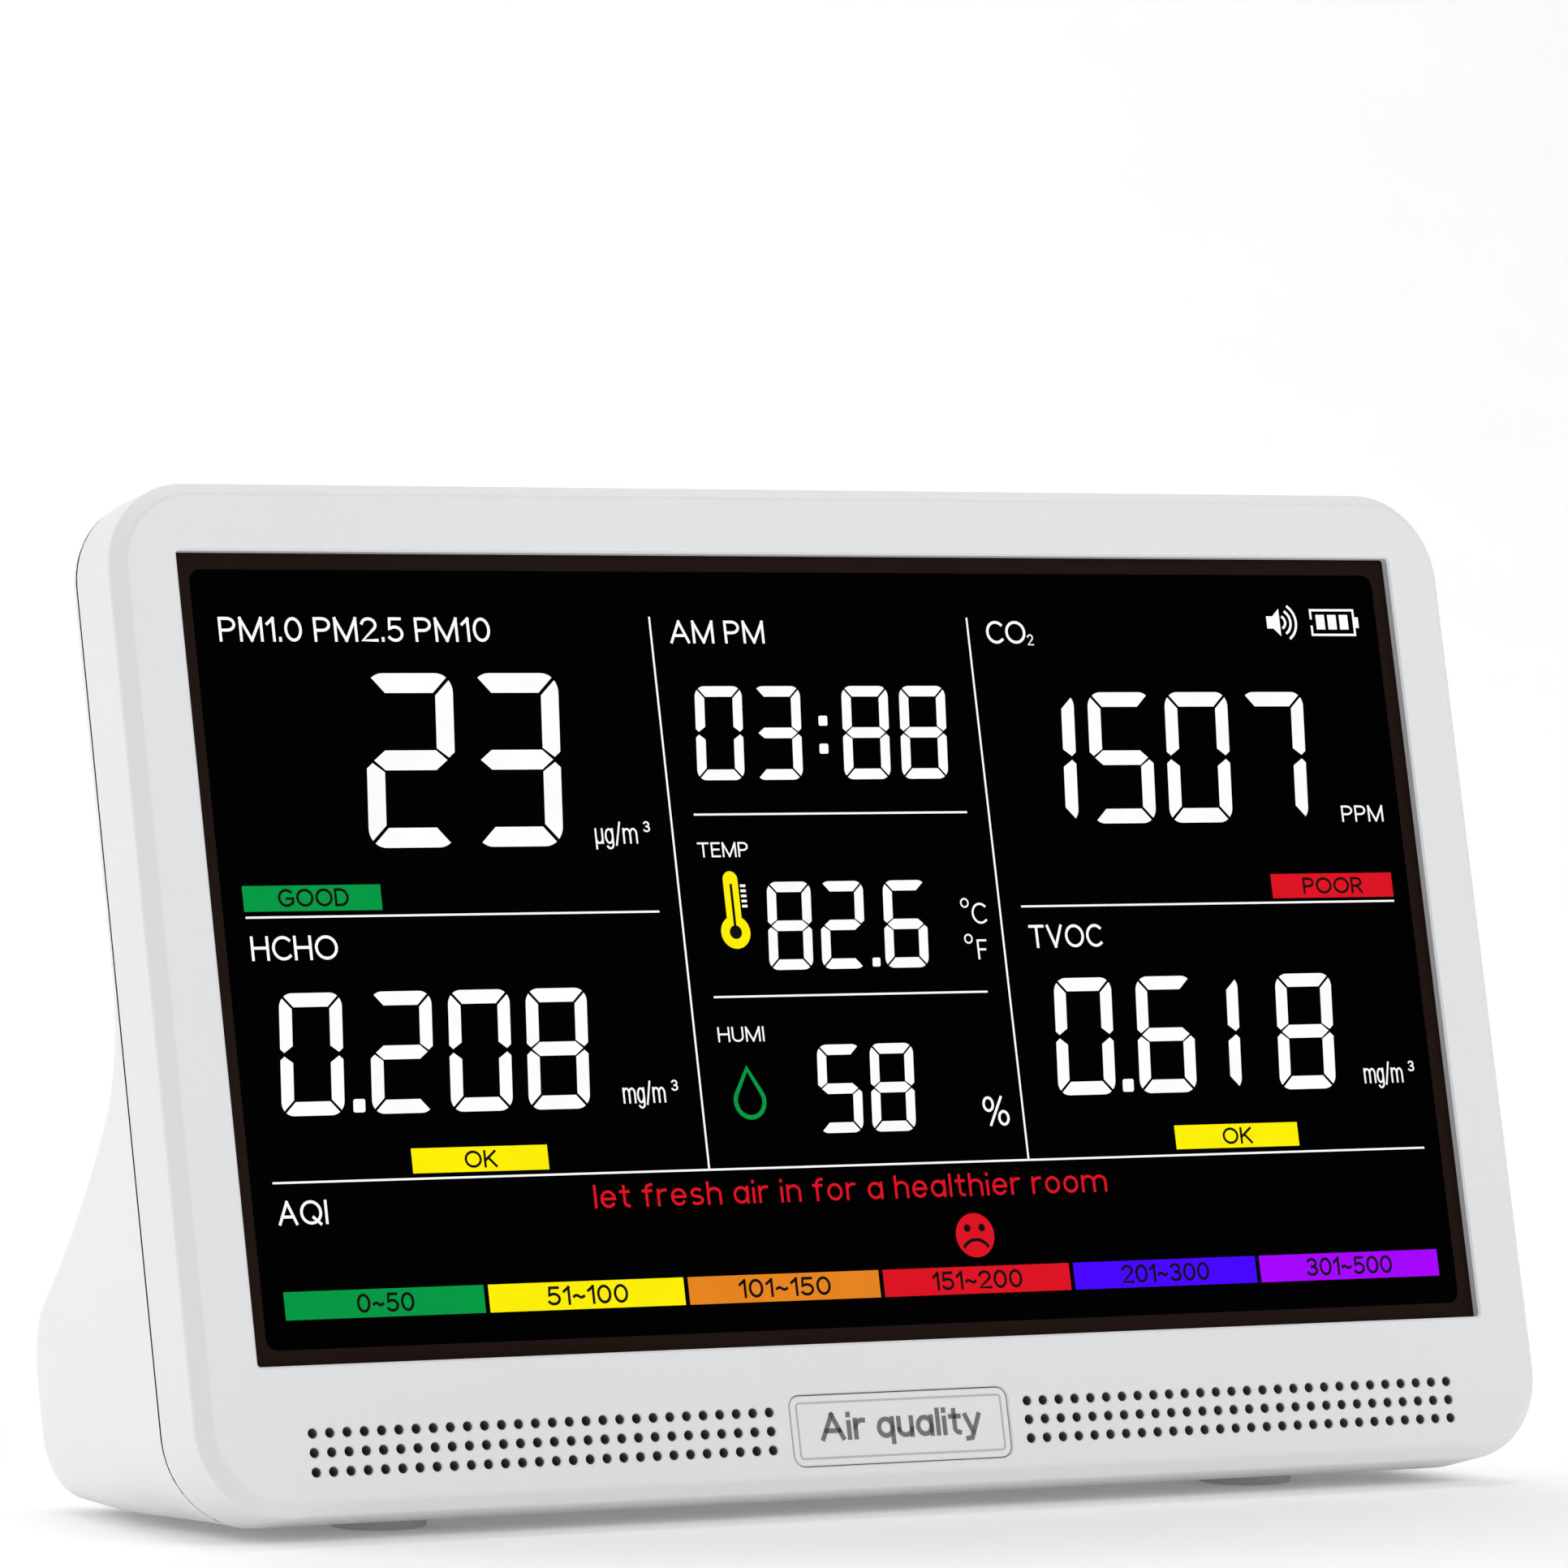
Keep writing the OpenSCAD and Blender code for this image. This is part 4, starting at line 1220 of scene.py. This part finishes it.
def labels():
    """Each label as its words, left end, base line, height of a capital and width."""
    names = [
        ("PM1.0 PM2.5 PM10", -81.9, 86.75, 3.0, 36.8), ("AM PM", -20.1, 86.6, 2.85, 13.35),
        ("CO", 25.4, 86.6, 2.9, 5.75), ("2", 31.3, 86.4, 1.4, 0.9),
        ("HCHO", -81.9, 48.2, 2.95, 11.6), ("TVOC", 26.6, 48.1, 2.9, 10.6),
        ("AQI", -81.9, 16.6, 2.9, 6.6), ("TEMP", -19.5, 60.0, 1.85, 7.1),
        ("HUMI", -19.5, 37.2, 1.85, 6.5), ("PPM", 75.3, 63.6, 2.1, 6.3),
    ]
    shapes = sum([lettering(*label) for label in names], [])
    for unit, left, base in (("µg/m", -33.6, 61.8), ("mg/m", -33.6, 30.0), ("mg/m", 73.9, 30.05)):
        shapes += lettering(unit, left, base, 2.6, 5.9, weight=0.09)
        shapes += lettering("3", left + 6.8, base + 1.4, 1.35, 0.95, weight=0.15)
    shapes += lettering("C", 18.6, 51.25, 2.65, 2.1, weight=0.1)
    shapes += lettering("F", 18.85, 46.8, 2.5, 1.4, weight=0.1)
    shapes += lettering("%", 17.0, 26.0, 3.7, 3.7, weight=0.09)
    for v in (53.9, 49.4):
        shapes.append(stroke(arc((17.7, v), 0.52, 0, 360, 20), 0.2))
    return shapes


def status_icons():
    """The loudspeaker, the battery and the scale beside the thermometer."""
    shapes = [shifted(shape, 69.4, 89.4) for shape in speaker(1.32, 0.34, 3)]
    left, low, right, high = 74.2, 87.8, 80.7, 91.0
    gap = 0.55
    middle = (low + high) / 2
    shapes.append(stroke([(left, middle - gap), (left, low), (right, low), (right, high),
                          (left, high), (left, middle + gap)], 0.3))
    shapes.append(bar(right + 0.15, middle - 0.7, right + 0.7, middle + 0.7))
    for x in spaced(74.95, 1.78, 3):
        shapes.append(bar(x, low + 0.7, x + 1.3, high - 0.6))
    for v in spaced(53.75, 0.63, 5):
        shapes.append(bar(-14.1, v, -13.35, v + 0.32))
    return shapes


def drop():
    """A water drop: straight sides from its point to a round bottom."""
    centre = (-16.0, 29.9)
    point = (-16.0, 33.9)
    outline = [point] + arc(centre, 2.0, 150, 390, 26) + [point]
    return stroke(outline, 0.55)


def thermometer():
    return [disc((-15.4, 50.7), 2.05), polygon(rounded(2.06, 8.6, 1.02, (-15.4, 53.95), 8))]


def thermometer_bore():
    return [disc((-15.4, 50.7), 0.85), polygon(rounded(0.36, 6.2, 0.17, (-15.4, 53.6), 3))]


# The real picture lies a little behind the glass, so from the front left it shows moved
PICTURE_X = 0.53
PICTURE_V = OPENING_V + 0.17
LIT_NEAR = WINDOW_SINK - PRINT_T
INK_NEAR = LIT_NEAR - PRINT_T
LIT_FAR = WINDOW_SINK + 0.03


def show(name, shapes, material, near):
    shapes = [shifted(shape, PICTURE_X, PICTURE_V) for shape in shapes]
    put_shapes(name, shapes, material, near, LIT_FAR)


def scale_bars():
    """The six bars of the air quality scale, from the lowest reading to the highest."""
    return [bar(x, 5.35, x + 26.8, 8.7) for x in spaced(-82.25, 27.42, 6)]


def face_marks():
    """Two eyes and a mouth that turns down."""
    eyes = [disc((x, 13.45), 0.48, 14) for x in (12.75, 14.85)]
    return [*eyes, stroke(arc((13.8, 9.9), 2.1, 38, 142, 12), 0.42)]


def ink_words():
    """The words in dark on the coloured bars, each with its middle, base line, height and width."""
    ranges = ["0~50", "51~100", "101~150", "151~200", "201~300", "301~500"]
    widths = [7.7, 11.1] + 4 * [12.9]
    rows = [(*row, 5.9, 2.3, width) for *row, width in zip(ranges, spaced(-68.8, 27.4, 6), widths)]
    rows += [("GOOD", -72.9, 54.6, 2.2, 9.5), ("POOR", 72.6, 54.4, 2.1, 9.0)]
    rows += [("OK", -54.0, 22.75, 2.1, 4.4), ("OK", 53.8, 22.85, 2.1, 4.4)]
    words = []
    for text, middle, base, cap, width in rows:
        words += lettering(text, middle - width / 2, base, cap, width, weight=0.15)
    return words


GLOWS = {
    "white": (255, 255, 255), "green": (0, 153, 68), "yellow": (255, 241, 0),
    "orange": (231, 133, 30), "red": (222, 16, 34), "indigo": (72, 0, 255),
    "purple": (167, 0, 255), "ink": (16, 12, 12),
}


def display():
    glow = {name: lit(f"display_{name}", colour) for name, colour in GLOWS.items()}
    scale = scale_bars()
    low_bars = [bar(-63.3, 22.3, -44.8, 25.3), bar(44.6, 22.4, 62.9, 25.4)]
    high_bar = bar(63.4, 53.9, 81.7, 57.0)
    face = disc((13.8, 12.55), 2.75)
    message = lettering("let fresh air in for a healthier room", -39.1, 17.4, 2.85, 72.8)
    for name, shapes, colour in [
        ("digits", readings(), "white"),
        ("rules", separators(), "white"),
        ("labels", labels(), "white"),
        ("status", status_icons(), "white"),
        ("green", [scale[0], bar(-82.3, 54.1, -63.75, 57.2), drop()], "green"),
        ("yellow", [scale[1], *low_bars], "yellow"),
        ("thermometer", thermometer(), "yellow"),
        ("orange", [scale[2]], "orange"),
        ("red", [scale[3], high_bar, face, *message], "red"),
        ("indigo", [scale[4]], "indigo"),
        ("purple", [scale[5]], "purple"),
    ]:
        show(f"display_{name}", shapes, glow[colour], LIT_NEAR)
    show("display_ink", face_marks() + thermometer_bore() + ink_words(), glow["ink"], INK_NEAR)


# ---- Stage, light and camera ----

def studio():
    """A pale floor that curves up behind the object, with soft light from all round."""
    floor = Surface("studio_floor", (0.95,) * 3, (0.935,) * 3, 0.9)
    floor = floor.glow((0.11,) * 3, (0.1,) * 3).material
    front, bend_start, bend_r, top, half = -4.0, 1.6, 1.4, 3.2, 4.5
    line = [(front, 0), (bend_start, 0)]
    line += arc((bend_start, bend_r), bend_r, -90, 0, 16)
    line += [(bend_start + bend_r, top)]
    verts = [(x, y, z) for y, z in line for x in (-half, half)]
    faces = [(2 * i, 2 * i + 1, 2 * i + 3, 2 * i + 2) for i in range(len(line) - 1)]
    mesh = bpy.data.meshes.new("studio_floor")
    mesh.from_pydata(verts, [], faces)
    mesh.polygons.foreach_set("use_smooth", [True] * len(mesh.polygons))
    mesh.materials.append(floor)
    add("studio_floor", mesh)
    world = bpy.data.worlds.new("studio")
    world.use_nodes = True
    world.node_tree.nodes["Background"].inputs["Color"].default_value = (1, 1, 1, 1)
    world.node_tree.nodes["Background"].inputs["Strength"].default_value = 0.37
    bpy.context.scene.world = world


def soft_light(name, place, target, size, power):
    light = bpy.data.lights.new(name, "AREA")
    light.shape = "RECTANGLE"
    light.size, light.size_y = size
    light.energy = power
    lamp = add(name, light)
    lamp.location = place
    lamp.rotation_euler = (Vector(target) - Vector(place)).to_track_quat("-Z", "Y").to_euler()


def camera():
    """Looks at a point on the object's axis, from the left and just above the table."""
    target = Vector((0.00135, -0.00028, 0.08804))
    distance = 1.203
    azimuth = math.radians(-30.85)
    elevation = math.radians(0.998)
    roll = math.radians(0.17)
    back = Vector((
        math.sin(azimuth) * math.cos(elevation),
        -math.cos(azimuth) * math.cos(elevation),
        math.sin(elevation),
    ))
    data = bpy.data.cameras.new("camera")
    data.sensor_width = 36
    data.lens = 223.4
    eye = add("camera", data)
    aim = (-back).to_track_quat("-Z", "Y").to_matrix() @ Matrix.Rotation(roll, 3, "Z")
    eye.matrix_world = Matrix.Translation(target + back * distance) @ aim.to_4x4()
    bpy.context.scene.camera = eye


bpy.context.scene.view_settings.view_transform = "Standard"
camera()
studio()
soft_light("left_window", (-1.4, 0.9, 0.6), (0, 0, 0.06), (1.4, 1.2), 12.5)
soft_light("overhead", (0, 0.3, 1.6), (0, 0, 0.05), (1.8, 1.4), 8.4)
soft_light("front_window", (0.5, -1.6, 0.9), (0, 0, 0.06), (1.4, 1.0), 13.5)
soft_light("right_fill", (1.5, -0.3, 0.5), (0, 0, 0.06), (1.2, 1.0), 1)
soft_light("backdrop_light", (1.0, 1.6, 2.4), (1.4, 2.9, 0.3), (3.0, 0.8), 28)
dress_frame()
front_cover()
rear_cover()
window()
nameplate()
side_cover()
foot_pads()
push_buttons()
switch_plunger()
display()
